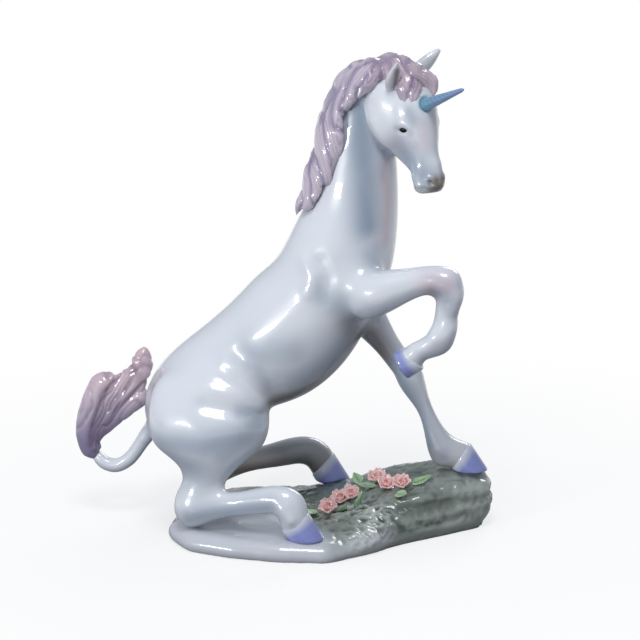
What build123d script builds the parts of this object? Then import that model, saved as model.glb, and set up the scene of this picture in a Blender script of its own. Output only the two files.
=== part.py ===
"""Porcelain unicorn figurine, seated on a rock base that carries hand-made flowers.

The figure is slip-cast as separate castings, which are luted together with slip before firing.
Lengths are in millimetres and angles in degrees.
Frame: origin in the middle of the base's foot, +Z up, +X the way the unicorn faces, +Y its left side.
"""

import math
import os

from build123d import *

# Rock base
BASE_LENGTH = 164.0
BASE_DEPTH = 98.0
SLAB_HEIGHT = 10.0  # the low end, under the hind legs
ROCK_HEIGHT = 33.0  # the high end, under the standing forefoot
ROCK_DIP = 30.0  # bends the rock's top down towards its front edge
EDGE_DROP = 3.0  # how far the rim lies below the ground inside it
BASE_WALL = 3.5
HOLLOW_INSET = 9.0
VENT_RADIUS = 4.0  # lets steam out of the hollow casting in the kiln

# Torso and neck, one curve of oval rings
HIP_SETBACK = 75.0
HIP_HEIGHT = 68.0
BARREL_LENGTH = 96.0
BARREL_PITCH = 40.0
BARREL_DEPTH = 59.0
BARREL_WIDTH = 62.0
NECK_LEAD = 6.5
NECK_RISE = 16.0
NECK_LENGTH = 77.0
NECK_PITCH = 80.0
NECK_DEPTH = 40.0
NECK_WIDTH = 33.0
CAST_WALL = 3.5

# Head
POLL_LEAD = 12.0
POLL_SIDE = 2.0
POLL_RISE = 4.5
HEAD_LENGTH = 53.5
HEAD_DEPTH = 35.0
HEAD_WIDTH = 26.0
HEAD_PITCH = -64.0
HEAD_TURN = 44.0

# Ears and horn
EAR_LENGTH = 18.0
EAR_WIDTH = 8.0
EAR_THICKNESS = 5.0
EAR_WALL = 1.2
HORN_LENGTH = 32.0
HORN_RADIUS = 3.9
HORN_TIP_RADIUS = 0.8
HORN_PITCH = 22.0
HORN_FLUTE = 0.3
HORN_TWIST = 1080.0
HORN_SINK = 1.6
TENON_RADIUS = 1.8
TENON_LENGTH = 5.0
LUTE_GAP = 0.1  # room for the slip that joins two castings

# Forelegs: the right one is raised, the left one stands on the rock
SHOULDER_SPREAD = 20.0
FOREARM_LENGTH = 65.0
FOREARM_PITCH = 7.5
FOREARM_TURN = 6.0
FOREARM_DEPTH = 17.0
KNEE_DEPTH = 14.5
KNEE_BEND = 5.5
CANNON_LENGTH = 29.0
CANNON_PITCH = -96.0
CANNON_DEPTH = 10.0
FETLOCK_DEPTH = 12.5
PASTERN_LENGTH = 15.0
PASTERN_PITCH = -142.0
PASTERN_DEPTH = 10.5
HOOF_HEIGHT = 9.0
HOOF_PITCH = -150.0
HOOF_LENGTH = 15.0
HOOF_WIDTH = 14.0
STANDING_FOREARM_TURN = 12.0  # the forearm's oval is turned outwards
STANDING_HOOF_X = 69.5
STANDING_HOOF_Y = 19.0
STANDING_HOOF_PITCH = 126.0
STANDING_PASTERN_LENGTH = 10.5
STANDING_PASTERN_PITCH = 160.0
STANDING_FETLOCK_DEPTH = 16.0
STANDING_HOOF_LENGTH = 18.0
STANDING_HOOF_WIDTH = 15.5

# Hind legs, folded with the hocks on the slab
HIP_SPREAD = 20.0
THIGH_DEPTH = 63.0
THIGH_WIDTH = 37.0
HOCK_DEPTH = 21.0
HIND_CANNON_DEPTH = 13.5
HIND_FETLOCK_DEPTH = 15.0
HIND_PASTERN_LENGTH = 13.0
HIND_HOOF_PITCH = 124.0
HIND_HOOF_HEIGHT = 10.5
HIND_HOOF_LENGTH = 18.5
HIND_HOOF_WIDTH = 16.0
HIND_HOOF_X = -4.5
RIGHT_HOCK_SETBACK = 62.0
RIGHT_HOCK_SPREAD = 35.0
RIGHT_HOOF_SPREAD = 42.0
RIGHT_PASTERN_PITCH = 126.0
LEFT_HOCK_SETBACK = 68.0
LEFT_HOCK_SPREAD = 29.0
LEFT_HOOF_SPREAD = 38.0
LEFT_PASTERN_PITCH = 150.0
SEAT_SINK = 0.6  # how far a foot or flower is pressed into the base before it is cut to fit

# Mane, forelock and tail
MANE_WIDTH = 14.0
MANE_THICKNESS = 8.0
FORELOCK_WIDTH = 6.5
FORELOCK_THICKNESS = 4.2
DOCK_THICKNESS = 7.4
DOCK_REACH = 37.0  # from the root back to the far end of the loop
DOCK_DROP = 24.0  # from the root down to the bottom of the loop
TUFT_HEIGHT = 56.0
TUFT_LENGTH = 38.0
TUFT_WIDTH = 13.0
TUFT_THICKNESS = 11.0

# Flowers and leaves
FLOWER_RADIUS = 4.8
PETALS = 5
PETAL_WIDTH = 4.4
PETAL_THICKNESS = 1.3
PETAL_LIFT = 32.0
HEART_RADIUS = 1.5
LEAF_LENGTH = 8.5
LEAF_WIDTH = 4.4
LEAF_THICKNESS = 1.3
LEAF_LIFT = 16.0

LEFT = Vector(0, 1, 0)
DOWN = Vector(0, 0, -1)
RING_POINTS = 12


def pitched(length, pitch, turn=0.0):
    """A vector of that length, pitch degrees above level, turned towards the right side."""
    level = length * math.cos(math.radians(pitch))
    rise = length * math.sin(math.radians(pitch))
    return Vector(level * math.cos(math.radians(turn)), -level * math.sin(math.radians(turn)), rise)


def between(start, end, share):
    return start + (end - start) * share


def largest(shape):
    """The main solid of a cut, without the crumbs that it may leave."""
    return max(shape.solids(), key=lambda solid: solid.volume)


def cut(solid, *others):
    for other in others:
        solid = largest(solid - other)
    return solid


class Form:
    """Oval rings, square to the line through their places, that one casting's skin runs through."""

    def __init__(self, rings, end_direction=None):
        """Each ring is its place, half depth, half width and the side that its width points to."""
        self.rings = rings
        self.last = len(rings) - 1
        self.end_direction = end_direction

    def direction(self, index):
        if index == self.last and self.end_direction:
            return self.end_direction
        before = self.rings[max(index - 1, 0)][0]
        after = self.rings[min(index + 1, self.last)][0]
        return (after - before).normalized()

    def at(self, station):
        """Plane, half depth and half width at a station, which may lie between two rings."""
        low = min(int(station), self.last - 1)
        share = station - low
        place, half_depth, half_width, side = (
            between(start, end, share) for start, end in zip(self.rings[low], self.rings[low + 1])
        )
        direction = between(self.direction(low), self.direction(low + 1), share).normalized()
        across = side - direction * side.dot(direction)
        return Plane(origin=place, x_dir=across, z_dir=direction), half_depth, half_width

    def skin(self, station, turn, lift=0.0):
        """A point on the skin, turn degrees from the form's front to its side, raised by lift."""
        plane, half_depth, half_width = self.at(station)
        across = (half_width + lift) * math.sin(math.radians(turn))
        ahead = (half_depth + lift) * math.cos(math.radians(turn))
        return plane.from_local_coords(Vector(across, ahead, 0))

    def ring(self, station, inset):
        turns = [360 * point / RING_POINTS for point in range(RING_POINTS)]
        points = [self.skin(station, turn, -inset) for turn in turns]
        return Wire([Edge.make_spline(points, periodic=True)])

    def solid(self, inset=0.0, first=0, last=None):
        last = self.last if last is None else last
        return Solid.make_loft([self.ring(station, inset) for station in range(first, last + 1)])


def rings_along(start, end, depth, width, shares, side=LEFT):
    """Rings from start to end: each row has its share along, its rise, half depth and half width."""
    front = (end - start).normalized().cross(side)
    rings = []
    for along, rise, half_depth, half_width in shares:
        place = between(start, end, along) + front * (depth * rise)
        rings.append((place, depth * half_depth, width * half_width, side))
    return rings


# Rock base: a faceted shell on an uneven outline.
# Corners of the outline in half lengths and half depths, from the tail end round by the near side
outline_shares = (
    (-1.00, -0.30),
    (-0.93, -0.70),
    (-0.80, -0.97),
    (-0.52, -1.09),
    (-0.20, -1.12),
    (0.10, -1.06),
    (0.31, -0.77),
    (0.52, -0.38),
    (0.78, 0.00),
    (0.97, 0.30),
    (0.99, 0.58),
    (0.80, 0.86),
    (0.44, 0.96),
    (0.04, 0.92),
    (-0.40, 0.94),
    (-0.76, 0.86),
    (-0.96, 0.40),
)
top_ring_shares = (0.40, 0.72, 0.92)  # rings of the top, from the middle out to the outline
belly_height_share = 0.5
foot_share = 0.96
climb_start_share = -0.35  # where the ground leaves the slab, in half lengths
climb_end_share = 0.80  # where it reaches the rock's top
vent_share = -0.30


def ground(x, y):
    """Height of the base's top at a place."""
    climb = (2 * x / BASE_LENGTH - climb_start_share) / (climb_end_share - climb_start_share)
    climb = max(0.0, min(1.0, climb))
    climb = climb * climb * (3 - 2 * climb)
    ahead = min(0.5 - y / BASE_DEPTH, 1.0)
    return SLAB_HEIGHT + climb * (ROCK_HEIGHT - SLAB_HEIGHT - ROCK_DIP * ahead * ahead)


def base_body(inset=0.0, wall=0.0, drop=0.0):
    """The base's outer skin or, set in from the outline and inside the wall, its hollow."""
    half_length = BASE_LENGTH / 2 - inset
    half_depth = BASE_DEPTH / 2 - inset
    outline = [Vector(u * half_length, v * half_depth, 0) for u, v in outline_shares]
    rings = []
    for share in top_ring_shares:
        rim_drop = drop if share == top_ring_shares[-1] else 0.0
        flat = [corner * share for corner in outline]
        rings.append([Vector(p.X, p.Y, ground(p.X, p.Y) - rim_drop - wall) for p in flat])
    rims = [ground(p.X, p.Y) - drop - wall for p in outline]
    rings.append([Vector(p.X, p.Y, wall + (rim - wall) * belly_height_share) for p, rim in zip(outline, rims)])
    rings.append([Vector(p.X, p.Y, wall) for p in (corner * foot_share for corner in outline)])
    faces = [Face(Wire.make_polygon(rings[-1]))]
    crown = Vector(0, 0, ground(0, 0) - wall)
    for i, _ in enumerate(outline):
        j = i - 1
        faces.append(Face(Wire.make_polygon([crown, rings[0][i], rings[0][j]])))
        for upper, lower in zip(rings, rings[1:]):
            faces.append(Face(Wire.make_polygon([upper[i], lower[i], lower[j]])))
            faces.append(Face(Wire.make_polygon([upper[i], lower[j], upper[j]])))
    return Solid(Shell(faces))


def rock_base():
    vent = Pos(vent_share * BASE_LENGTH / 2, 0, 0) * Cylinder(VENT_RADIUS, 3 * BASE_WALL)
    return cut(base_body(drop=EDGE_DROP), base_body(HOLLOW_INSET, BASE_WALL), vent)


# Torso and neck: shares along, rise, half depth and half width
barrel_shares = (
    (-0.25, -0.11, 0.09, 0.11),
    (-0.19, -0.10, 0.24, 0.26),
    (0.01, -0.07, 0.40, 0.41),
    (0.27, -0.07, 0.43, 0.45),
    (0.54, -0.13, 0.51, 0.50),
    (0.78, -0.10, 0.52, 0.50),
    (0.98, -0.01, 0.475, 0.47),
)
neck_shares = (
    (0.07, -0.03, 0.65, 0.76),
    (0.30, -0.06, 0.57, 0.60),
    (0.60, -0.03, 0.48, 0.50),
    (0.84, 0.00, 0.42, 0.44),
    (1.05, -0.08, 0.36, 0.37),
    (1.18, -0.20, 0.24, 0.26),
    (1.24, -0.27, 0.10, 0.10),
)
right_hip_station = 2.8
left_hip_station = 2.3
shoulder_station = 6.1
lute_station = 7.4  # where the neck casting meets the torso casting
neck_top_station = 11
cavity_stations = (1, 10)


def trunk_form():
    hip = Vector(-HIP_SETBACK, 0, HIP_HEIGHT)
    chest = hip + pitched(BARREL_LENGTH, BARREL_PITCH)
    withers = chest + Vector(NECK_LEAD, 0, NECK_RISE)
    poll = withers + pitched(NECK_LENGTH, NECK_PITCH)
    barrel = rings_along(hip, chest, BARREL_DEPTH, BARREL_WIDTH, barrel_shares)
    neck = rings_along(withers, poll, NECK_DEPTH, NECK_WIDTH, neck_shares)
    return Form(barrel + neck)


def trunk_castings(trunk, skin):
    """Torso and neck: one hollow skin, parted at the lute line."""
    shell = cut(skin, trunk.solid(CAST_WALL, *cavity_stations))
    lute, _, _ = trunk.at(lute_station)
    return shell.split(lute, keep=Keep.BOTTOM), shell.split(lute, keep=Keep.TOP)


# Head: shares along, towards the forehead, half depth and half width
head_shares = (
    (-0.19, -0.06, 0.12, 0.18),
    (-0.12, -0.03, 0.30, 0.36),
    (0.07, 0.01, 0.44, 0.48),
    (0.35, 0.00, 0.50, 0.50),
    (0.55, 0.05, 0.39, 0.40),
    (0.71, 0.09, 0.28, 0.30),
    (0.84, 0.10, 0.21, 0.27),
    (0.94, 0.08, 0.20, 0.28),
    (1.01, 0.05, 0.11, 0.17),
)
head_side = pitched(1, 0, HEAD_TURN - 90)


def head_form(trunk):
    neck_top, _, _ = trunk.at(neck_top_station)
    poll = neck_top.origin + Vector(POLL_LEAD, -POLL_SIDE, POLL_RISE)
    chin = poll + pitched(HEAD_LENGTH, HEAD_PITCH, HEAD_TURN)
    return Form(rings_along(poll, chin, HEAD_DEPTH, HEAD_WIDTH, head_shares, head_side))


# Ears: shares along, towards the opening, half thickness and half width
ear_shares = (
    (-0.30, 0.0, 0.34, 0.30),
    (0.05, 0.0, 0.44, 0.38),
    (0.35, 0.0, 0.50, 0.50),
    (0.65, 0.0, 0.40, 0.40),
    (0.88, 0.0, 0.22, 0.20),
    (1.00, 0.0, 0.08, 0.07),
)
# An ear's root, as a station of the head and a turn round it, and then the ear's pitch and turn
RIGHT_EAR = (1.85, -62.0, 52.0, 65.0)
LEFT_EAR = (1.2, 84.0, 45.0, -14.0)
scoop_stations = (1, 4)


def ear(head, station, turn, pitch, heading):
    root = head.skin(station, turn)
    tip = root + pitched(EAR_LENGTH, pitch, heading)
    form = Form(rings_along(root, tip, EAR_THICKNESS, EAR_WIDTH, ear_shares, head_side))
    front = form.at(1)[0].y_dir
    scoop = form.solid(EAR_WALL, *scoop_stations).moved(Location(front * EAR_THICKNESS / 2))
    return cut(form.solid(), scoop)


# Horn: a twisted, fluted cone on a tenon
HORN_RINGS = 25
HORN_FLUTES = 3
HORN_POINTS = 18
horn_station = 2.75


def horn_seat(head):
    place = head.skin(horn_station, 0, -HORN_SINK)
    return Plane(origin=place, x_dir=head_side, z_dir=pitched(1, HORN_PITCH, HEAD_TURN))


def horn_ring(seat, share):
    radius = HORN_RADIUS + (HORN_TIP_RADIUS - HORN_RADIUS) * share
    flute = HORN_FLUTE * radius / HORN_RADIUS
    points = []
    for point in range(HORN_POINTS):
        turn = math.radians(360 * point / HORN_POINTS)
        reach = radius + flute * math.cos(HORN_FLUTES * turn - math.radians(HORN_TWIST * share))
        local = Vector(reach * math.cos(turn), reach * math.sin(turn), HORN_LENGTH * share)
        points.append(seat.from_local_coords(local))
    return Wire([Edge.make_spline(points, periodic=True)])


def horn(seat):
    cone = Solid.make_loft([horn_ring(seat, ring / (HORN_RINGS - 1)) for ring in range(HORN_RINGS)])
    below = (Align.CENTER, Align.CENTER, Align.MAX)
    tenon = seat * Cylinder(TENON_RADIUS, TENON_LENGTH, align=below)
    return largest(cone + tenon)


def horn_socket(seat):
    above = (Align.CENTER, Align.CENTER, Align.MIN)
    below = (Align.CENTER, Align.CENTER, Align.MAX)
    cup = Cylinder(HORN_RADIUS + HORN_FLUTE + LUTE_GAP, HORN_RADIUS + HORN_SINK, align=above)
    hole = Cylinder(TENON_RADIUS + LUTE_GAP, TENON_LENGTH + LUTE_GAP, align=below)
    return seat * (cup + hole)


# Legs: an upper casting down to the knee or hock, then a shank with its hoof.
# Shares along, towards the leg's front, half depth and half width
forearm_shares = (
    (0.00, 0.00, 0.80, 0.60),
    (0.38, -0.22, 0.70, 0.60),
    (0.66, 0.00, 0.50, 0.48),
    (0.90, 0.10, 0.43, 0.42),
    (1.00, 0.02, 0.44, 0.43),
    (1.08, -0.10, 0.24, 0.25),
)
standing_forearm_shares = (
    (0.00, 0.00, 0.80, 0.60),
    (0.35, 0.00, 0.62, 0.55),
    (0.62, 0.00, 0.45, 0.44),
    (0.88, 0.00, 0.37, 0.38),
    (1.00, 0.00, 0.31, 0.31),
    (1.06, 0.00, 0.16, 0.17),
)
thigh_shares = (
    (-0.14, 0.00, 0.12, 0.20),
    (-0.06, 0.00, 0.30, 0.36),
    (0.12, 0.01, 0.46, 0.47),
    (0.32, 0.02, 0.48, 0.50),
    (0.54, 0.03, 0.38, 0.46),
    (0.71, 0.05, 0.19, 0.32),
    (0.82, 0.03, 0.16, 0.27),
    (1.00, 0.00, 0.17, 0.27),
    (1.14, 0.01, 0.10, 0.16),
)
# A shank's rings, as shares of the way from one joint to the next, of their depth and of the hoof
knee_cap_share = -0.22
knee_cap_size_share = 0.5
cannon_shares = (0.34, 0.72)
pastern_share = 0.5
coronet_share = 0.44
flatness_share = 0.92
standing_knee_share = 0.615


def shank_form(joint, fetlock, coronet, sole, depths, hoof, end_direction=None):
    """From the knee or hock to the sole; depths are of knee, cannon, fetlock and, if it shows, pastern."""
    knee, cannon, ankle, *pasterns = (depth / 2 for depth in depths)
    hoof_length, hoof_width = hoof
    rows = [(between(joint, fetlock, knee_cap_share), knee * knee_cap_size_share), (joint, knee)]
    rows += [(between(joint, fetlock, share), cannon) for share in cannon_shares]
    rows += [(fetlock, ankle)]
    rows += [(between(fetlock, coronet, pastern_share), pastern) for pastern in pasterns]
    rings = [(place, half_depth, half_depth * flatness_share, LEFT) for place, half_depth in rows]
    rings.append((coronet, hoof_length * coronet_share, hoof_width * coronet_share, LEFT))
    rings.append((sole, hoof_length / 2, hoof_width / 2, LEFT))
    return Form(rings, end_direction)


def shank_and_hoof(form, upper, base):
    """The casting down to the coronet, and the hoof below it."""
    coronet = form.last - 1
    return cut(form.solid(last=coronet), upper, base), cut(form.solid(first=coronet), base)


def raised_foreleg(trunk):
    shoulder = trunk.at(shoulder_station)[0].origin - LEFT * SHOULDER_SPREAD
    knee = shoulder + pitched(FOREARM_LENGTH, FOREARM_PITCH, FOREARM_TURN)
    fetlock = knee + pitched(CANNON_LENGTH, CANNON_PITCH)
    coronet = fetlock + pitched(PASTERN_LENGTH, PASTERN_PITCH)
    sole = coronet + pitched(HOOF_HEIGHT, HOOF_PITCH)
    upper = Form(rings_along(shoulder, knee, FOREARM_DEPTH, FOREARM_DEPTH, forearm_shares))
    depths = (KNEE_DEPTH, CANNON_DEPTH, FETLOCK_DEPTH, PASTERN_DEPTH)
    return upper, shank_form(knee, fetlock, coronet, sole, depths, (HOOF_LENGTH, HOOF_WIDTH))


def standing_foreleg(trunk):
    shoulder = trunk.at(shoulder_station)[0].origin + LEFT * SHOULDER_SPREAD
    level = ground(STANDING_HOOF_X, STANDING_HOOF_Y)
    sole = Vector(STANDING_HOOF_X, STANDING_HOOF_Y, level)
    coronet = sole + pitched(HOOF_HEIGHT, STANDING_HOOF_PITCH)
    fetlock = coronet + pitched(STANDING_PASTERN_LENGTH, STANDING_PASTERN_PITCH)
    ahead = (fetlock - shoulder).normalized().cross(LEFT)
    knee = between(shoulder, fetlock, standing_knee_share) + ahead * KNEE_BEND
    side = pitched(1, 0, STANDING_FOREARM_TURN - 90)
    upper = Form(rings_along(shoulder, knee, FOREARM_DEPTH, FOREARM_DEPTH, standing_forearm_shares, side))
    depths = (KNEE_DEPTH, CANNON_DEPTH, STANDING_FETLOCK_DEPTH)
    hoof = (STANDING_HOOF_LENGTH, STANDING_HOOF_WIDTH)
    sunk = sole + DOWN * SEAT_SINK
    return upper, shank_form(knee, fetlock, coronet, sunk, depths, hoof, DOWN)


RIGHT_HIND = (
    right_hip_station,
    RIGHT_HOCK_SETBACK,
    RIGHT_HOCK_SPREAD,
    RIGHT_HOOF_SPREAD,
    RIGHT_PASTERN_PITCH,
)
LEFT_HIND = (left_hip_station, LEFT_HOCK_SETBACK, LEFT_HOCK_SPREAD, LEFT_HOOF_SPREAD, LEFT_PASTERN_PITCH)


def hind_leg(trunk, side, hip_station, hock_setback, hock_spread, hoof_spread, pastern_pitch):
    hip = trunk.at(hip_station)[0].origin + side * HIP_SPREAD
    hock = Vector(-hock_setback, 0, 0) + side * hock_spread
    hock = hock - DOWN * (ground(hock.X, hock.Y) + HOCK_DEPTH / 2 - SEAT_SINK)
    sole = Vector(HIND_HOOF_X, 0, 0) + side * hoof_spread
    sole = sole - DOWN * ground(sole.X, sole.Y)
    coronet = sole + pitched(HIND_HOOF_HEIGHT, HIND_HOOF_PITCH)
    fetlock = coronet + pitched(HIND_PASTERN_LENGTH, pastern_pitch)
    upper = Form(rings_along(hip, hock, THIGH_DEPTH, THIGH_WIDTH, thigh_shares))
    depths = (HOCK_DEPTH, HIND_CANNON_DEPTH, HIND_FETLOCK_DEPTH)
    sunk = sole + DOWN * SEAT_SINK
    hoof = (HIND_HOOF_LENGTH, HIND_HOOF_WIDTH)
    return upper, shank_form(hock, fetlock, coronet, sunk, depths, hoof, DOWN)


# Locks of hair lie along a route on the skin below: the form, its station there and a turn round it.
# Shares of half thickness and half width at each point of a route
lock_shares = ((0.30, 0.30), (0.46, 0.46), (0.50, 0.50), (0.42, 0.38), (0.12, 0.10))
lock_lift_share = 0.20
NECK = 0
HEAD = 1
MANE_ROUTES = (
    ((NECK, 12.2, 2), (NECK, 11.9, -28), (NECK, 11.5, -52), (NECK, 11.1, -68), (NECK, 10.7, -80)),
    ((NECK, 11.9, 12), (NECK, 11.4, -20), (NECK, 10.9, -44), (NECK, 10.5, -62), (NECK, 10.1, -76)),
    ((NECK, 11.4, 14), (NECK, 10.9, -12), (NECK, 10.4, -34), (NECK, 9.9, -52), (NECK, 9.4, -64)),
    ((NECK, 10.9, 12), (NECK, 10.4, -8), (NECK, 9.8, -26), (NECK, 9.2, -44), (NECK, 8.7, -56)),
    ((NECK, 10.3, 12), (NECK, 9.7, -6), (NECK, 9.1, -20), (NECK, 8.6, -38), (NECK, 8.0, -52)),
    ((NECK, 9.7, 12), (NECK, 9.1, -4), (NECK, 8.6, -16), (NECK, 8.1, -32), (NECK, 7.6, -44)),
    ((NECK, 9.0, 12), (NECK, 8.5, -2), (NECK, 8.1, -12), (NECK, 7.7, -22), (NECK, 7.2, -30)),
    ((NECK, 8.5, 14), (NECK, 8.1, 4), (NECK, 7.8, -2), (NECK, 7.4, -8), (NECK, 6.9, -12)),
)
FORELOCK_ROUTES = (
    ((NECK, 11.9, 4), (NECK, 12.4, -16), (HEAD, 1.3, -30), (HEAD, 1.9, -30), (HEAD, 2.5, -24)),
    ((NECK, 11.8, 14), (NECK, 12.3, 14), (HEAD, 1.2, 4), (HEAD, 1.7, 0), (HEAD, 2.25, -4)),
    ((NECK, 11.7, 30), (NECK, 12.2, 40), (HEAD, 1.2, 40), (HEAD, 1.8, 34), (HEAD, 2.4, 28)),
)


def lock_form(bodies, route, width, thickness):
    places = [bodies[form].skin(station, turn, thickness * lock_lift_share) for form, station, turn in route]
    rings = []
    for i, (form, station, turn) in enumerate(route):
        along = places[min(i + 1, len(places) - 1)] - places[max(i - 1, 0)]
        outward = bodies[form].skin(station, turn, thickness) - bodies[form].skin(station, turn)
        half_thickness, half_width = lock_shares[i]
        side = outward.cross(along).normalized()
        rings.append((places[i], thickness * half_thickness, width * half_width, side))
    return Form(rings)


# Tail: the dock loops down, back and up, in shares of its reach and drop and of its thickness
dock_shares = (
    (0.00, 0.00, 0.60),
    (0.30, -0.36, 0.55),
    (0.41, -0.63, 0.50),
    (0.56, -0.89, 0.50),
    (0.73, -1.00, 0.50),
    (0.89, -0.92, 0.48),
    (0.99, -0.74, 0.44),
)
TAIL_ROOT_STATION = 0.9
# The tuft's locks, in shares of its length behind the root and its height above the loop's bottom,
# then of half width and half thickness
outer_lock_shares = (
    (0.98, 0.10, 0.20, 0.30),
    (1.02, 0.28, 0.42, 0.44),
    (0.97, 0.50, 0.52, 0.50),
    (0.87, 0.70, 0.48, 0.46),
    (0.72, 0.83, 0.36, 0.36),
    (0.54, 0.89, 0.12, 0.12),
)
middle_lock_shares = (
    (0.88, 0.30, 0.20, 0.24),
    (0.65, 0.55, 0.40, 0.42),
    (0.43, 0.67, 0.46, 0.46),
    (0.28, 0.83, 0.42, 0.42),
    (0.23, 1.00, 0.32, 0.34),
    (0.28, 1.12, 0.12, 0.14),
)
inner_lock_shares = (
    (0.90, 0.22, 0.14, 0.20),
    (0.72, 0.40, 0.28, 0.34),
    (0.50, 0.52, 0.34, 0.40),
    (0.32, 0.60, 0.28, 0.34),
    (0.20, 0.68, 0.10, 0.12),
)


def dock_form(root):
    rings = []
    for back, rise, half_thickness in dock_shares:
        place = root + Vector(-DOCK_REACH * back, 0, DOCK_DROP * rise)
        rings.append((place, DOCK_THICKNESS * half_thickness, DOCK_THICKNESS * half_thickness, LEFT))
    return Form(rings)


def tuft_lock_form(root, shares):
    foot = root + DOWN * DOCK_DROP
    rings = []
    for back, rise, half_width, half_thickness in shares:
        place = foot + Vector(-TUFT_LENGTH * back, 0, TUFT_HEIGHT * rise)
        rings.append((place, TUFT_WIDTH * half_width, TUFT_THICKNESS * half_thickness, LEFT))
    return Form(rings)


# Flowers and leaves: places in half lengths and half depths of the base
flower_shares = ((0.00, -0.16), (0.05, 0.05), (0.12, 0.09), (0.25, 0.40), (0.34, 0.18), (0.43, 0.16))
leaf_shares = (
    (-0.05, -0.22),
    (0.07, -0.14),
    (0.15, -0.10),
    (0.26, 0.22),
    (0.42, -0.04),
    (0.50, 0.12),
    (0.16, 0.38),
)
LEAF_TURNS = (215.0, 300.0, 330.0, 160.0, 310.0, 20.0, 120.0)
FLOWER_TILT = 22.0  # the flowers lean towards the front


def on_ground(shares):
    x = shares[0] * BASE_LENGTH / 2
    y = shares[1] * BASE_DEPTH / 2
    return Pos(x, y, ground(x, y) - SEAT_SINK)


def flower():
    """Five rounded petals about a bead, made by hand in soft paste."""
    petal = Cylinder(PETAL_WIDTH / 2, PETAL_THICKNESS)
    raised = Rot(0, -PETAL_LIFT, 0) * Pos(FLOWER_RADIUS - PETAL_WIDTH / 2, 0, 0) * petal
    bloom = Sphere(HEART_RADIUS)
    for turn in range(PETALS):
        bloom += Rot(0, 0, 360 * turn / PETALS) * raised
    return Rot(FLOWER_TILT, 0, 0) * Pos(0, 0, HEART_RADIUS) * bloom


def leaf():
    """A pointed leaf, the overlap of two round discs."""
    half_length = LEAF_LENGTH / 2
    half_width = LEAF_WIDTH / 2
    radius = (half_length * half_length + half_width * half_width) / LEAF_WIDTH
    blade = Pos(0, radius - half_width, 0) * Cylinder(radius, LEAF_THICKNESS)
    blade &= Pos(0, half_width - radius, 0) * Cylinder(radius, LEAF_THICKNESS)
    return Rot(0, -LEAF_LIFT, 0) * Pos(half_length, 0, LEAF_THICKNESS / 2) * blade


def cut_in_turn(solids, *others):
    """Each solid of a cluster gives way to the ones placed before it."""
    kept = []
    for solid in solids:
        kept.append(cut(solid, *others, *kept))
    return kept


def main():
    os.makedirs("parts", exist_ok=True)
    parts = {}
    base = rock_base()
    trunk = trunk_form()
    skin = trunk.solid()
    head = head_form(trunk)
    seat = horn_seat(head)
    torso, neck = trunk_castings(trunk, skin)
    skull = head.solid()
    parts["rock_base"] = base
    parts["torso"] = torso
    parts["neck"] = cut(neck, skull)
    parts["head"] = cut(skull, horn_socket(seat))
    parts["horn"] = horn(seat)
    ears = [cut(ear(head, *lean), skull, skin) for lean in (RIGHT_EAR, LEFT_EAR)]
    parts["right_ear"], parts["left_ear"] = ears

    legs = {
        "right_fore": raised_foreleg(trunk),
        "left_fore": standing_foreleg(trunk),
        "right_hind": hind_leg(trunk, -LEFT, *RIGHT_HIND),
        "left_hind": hind_leg(trunk, LEFT, *LEFT_HIND),
    }
    uppers = []
    for name, (upper_form, lower_form) in legs.items():
        upper = cut(upper_form.solid(), skin, base)
        uppers.append(upper)
        shank, hoof = shank_and_hoof(lower_form, upper, base)
        parts[f"{name}_upper"] = upper
        parts[f"{name}_shank"] = shank
        parts[f"{name}_hoof"] = hoof

    bodies = (trunk, head)
    mane = [lock_form(bodies, route, MANE_WIDTH, MANE_THICKNESS).solid() for route in MANE_ROUTES]
    mane = cut_in_turn(mane, skin, skull, *ears)
    for number, lock in enumerate(mane, 1):
        parts[f"mane_lock_{number}"] = lock
    forelock = [lock_form(bodies, way, FORELOCK_WIDTH, FORELOCK_THICKNESS).solid() for way in FORELOCK_ROUTES]
    forelock = cut_in_turn(forelock, skin, skull, horn_socket(seat), *ears, *mane[:2])
    for number, lock in enumerate(forelock, 1):
        parts[f"forelock_{number}"] = lock

    root = trunk.at(TAIL_ROOT_STATION)[0].origin
    tail = {
        "tail_dock": dock_form(root),
        "tail_lock_outer": tuft_lock_form(root, outer_lock_shares),
        "tail_lock_middle": tuft_lock_form(root, middle_lock_shares),
        "tail_lock_inner": tuft_lock_form(root, inner_lock_shares),
    }
    tail_solids = cut_in_turn([form.solid() for form in tail.values()], skin, *uppers[2:])
    parts.update(zip(tail, tail_solids))

    blooms = cut_in_turn([largest(on_ground(place) * flower()) for place in flower_shares], base)
    for number, bloom in enumerate(blooms, 1):
        parts[f"flower_{number}"] = bloom
    leaves = [on_ground(place) * Rot(0, 0, turn) * leaf() for place, turn in zip(leaf_shares, LEAF_TURNS)]
    for number, blade in enumerate(cut_in_turn(leaves, base, *blooms), 1):
        parts[f"leaf_{number}"] = blade

    for name, shape in parts.items():
        export_step(shape, f"parts/{name}.step")


main()
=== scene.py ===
# %% [markdown]
# A porcelain unicorn, dressed in Blender.
#
# The real figurine is slip-cast in hollow castings, luted together with slip, finished with
# hair, horn, flowers and leaves made by hand, painted with soft ceramic colours and fired
# under a thick clear glaze. The solids loaded here give every piece its place and size.
# We work in metres, in the same frame: +Z is up, the animal faces +X, and the camera looks
# from its right side, -Y.

# %% Load the solids
import math

import bmesh
import bpy
import numpy as np
from mathutils import Matrix, Vector, noise
from mathutils.bvhtree import BVHTree


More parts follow.
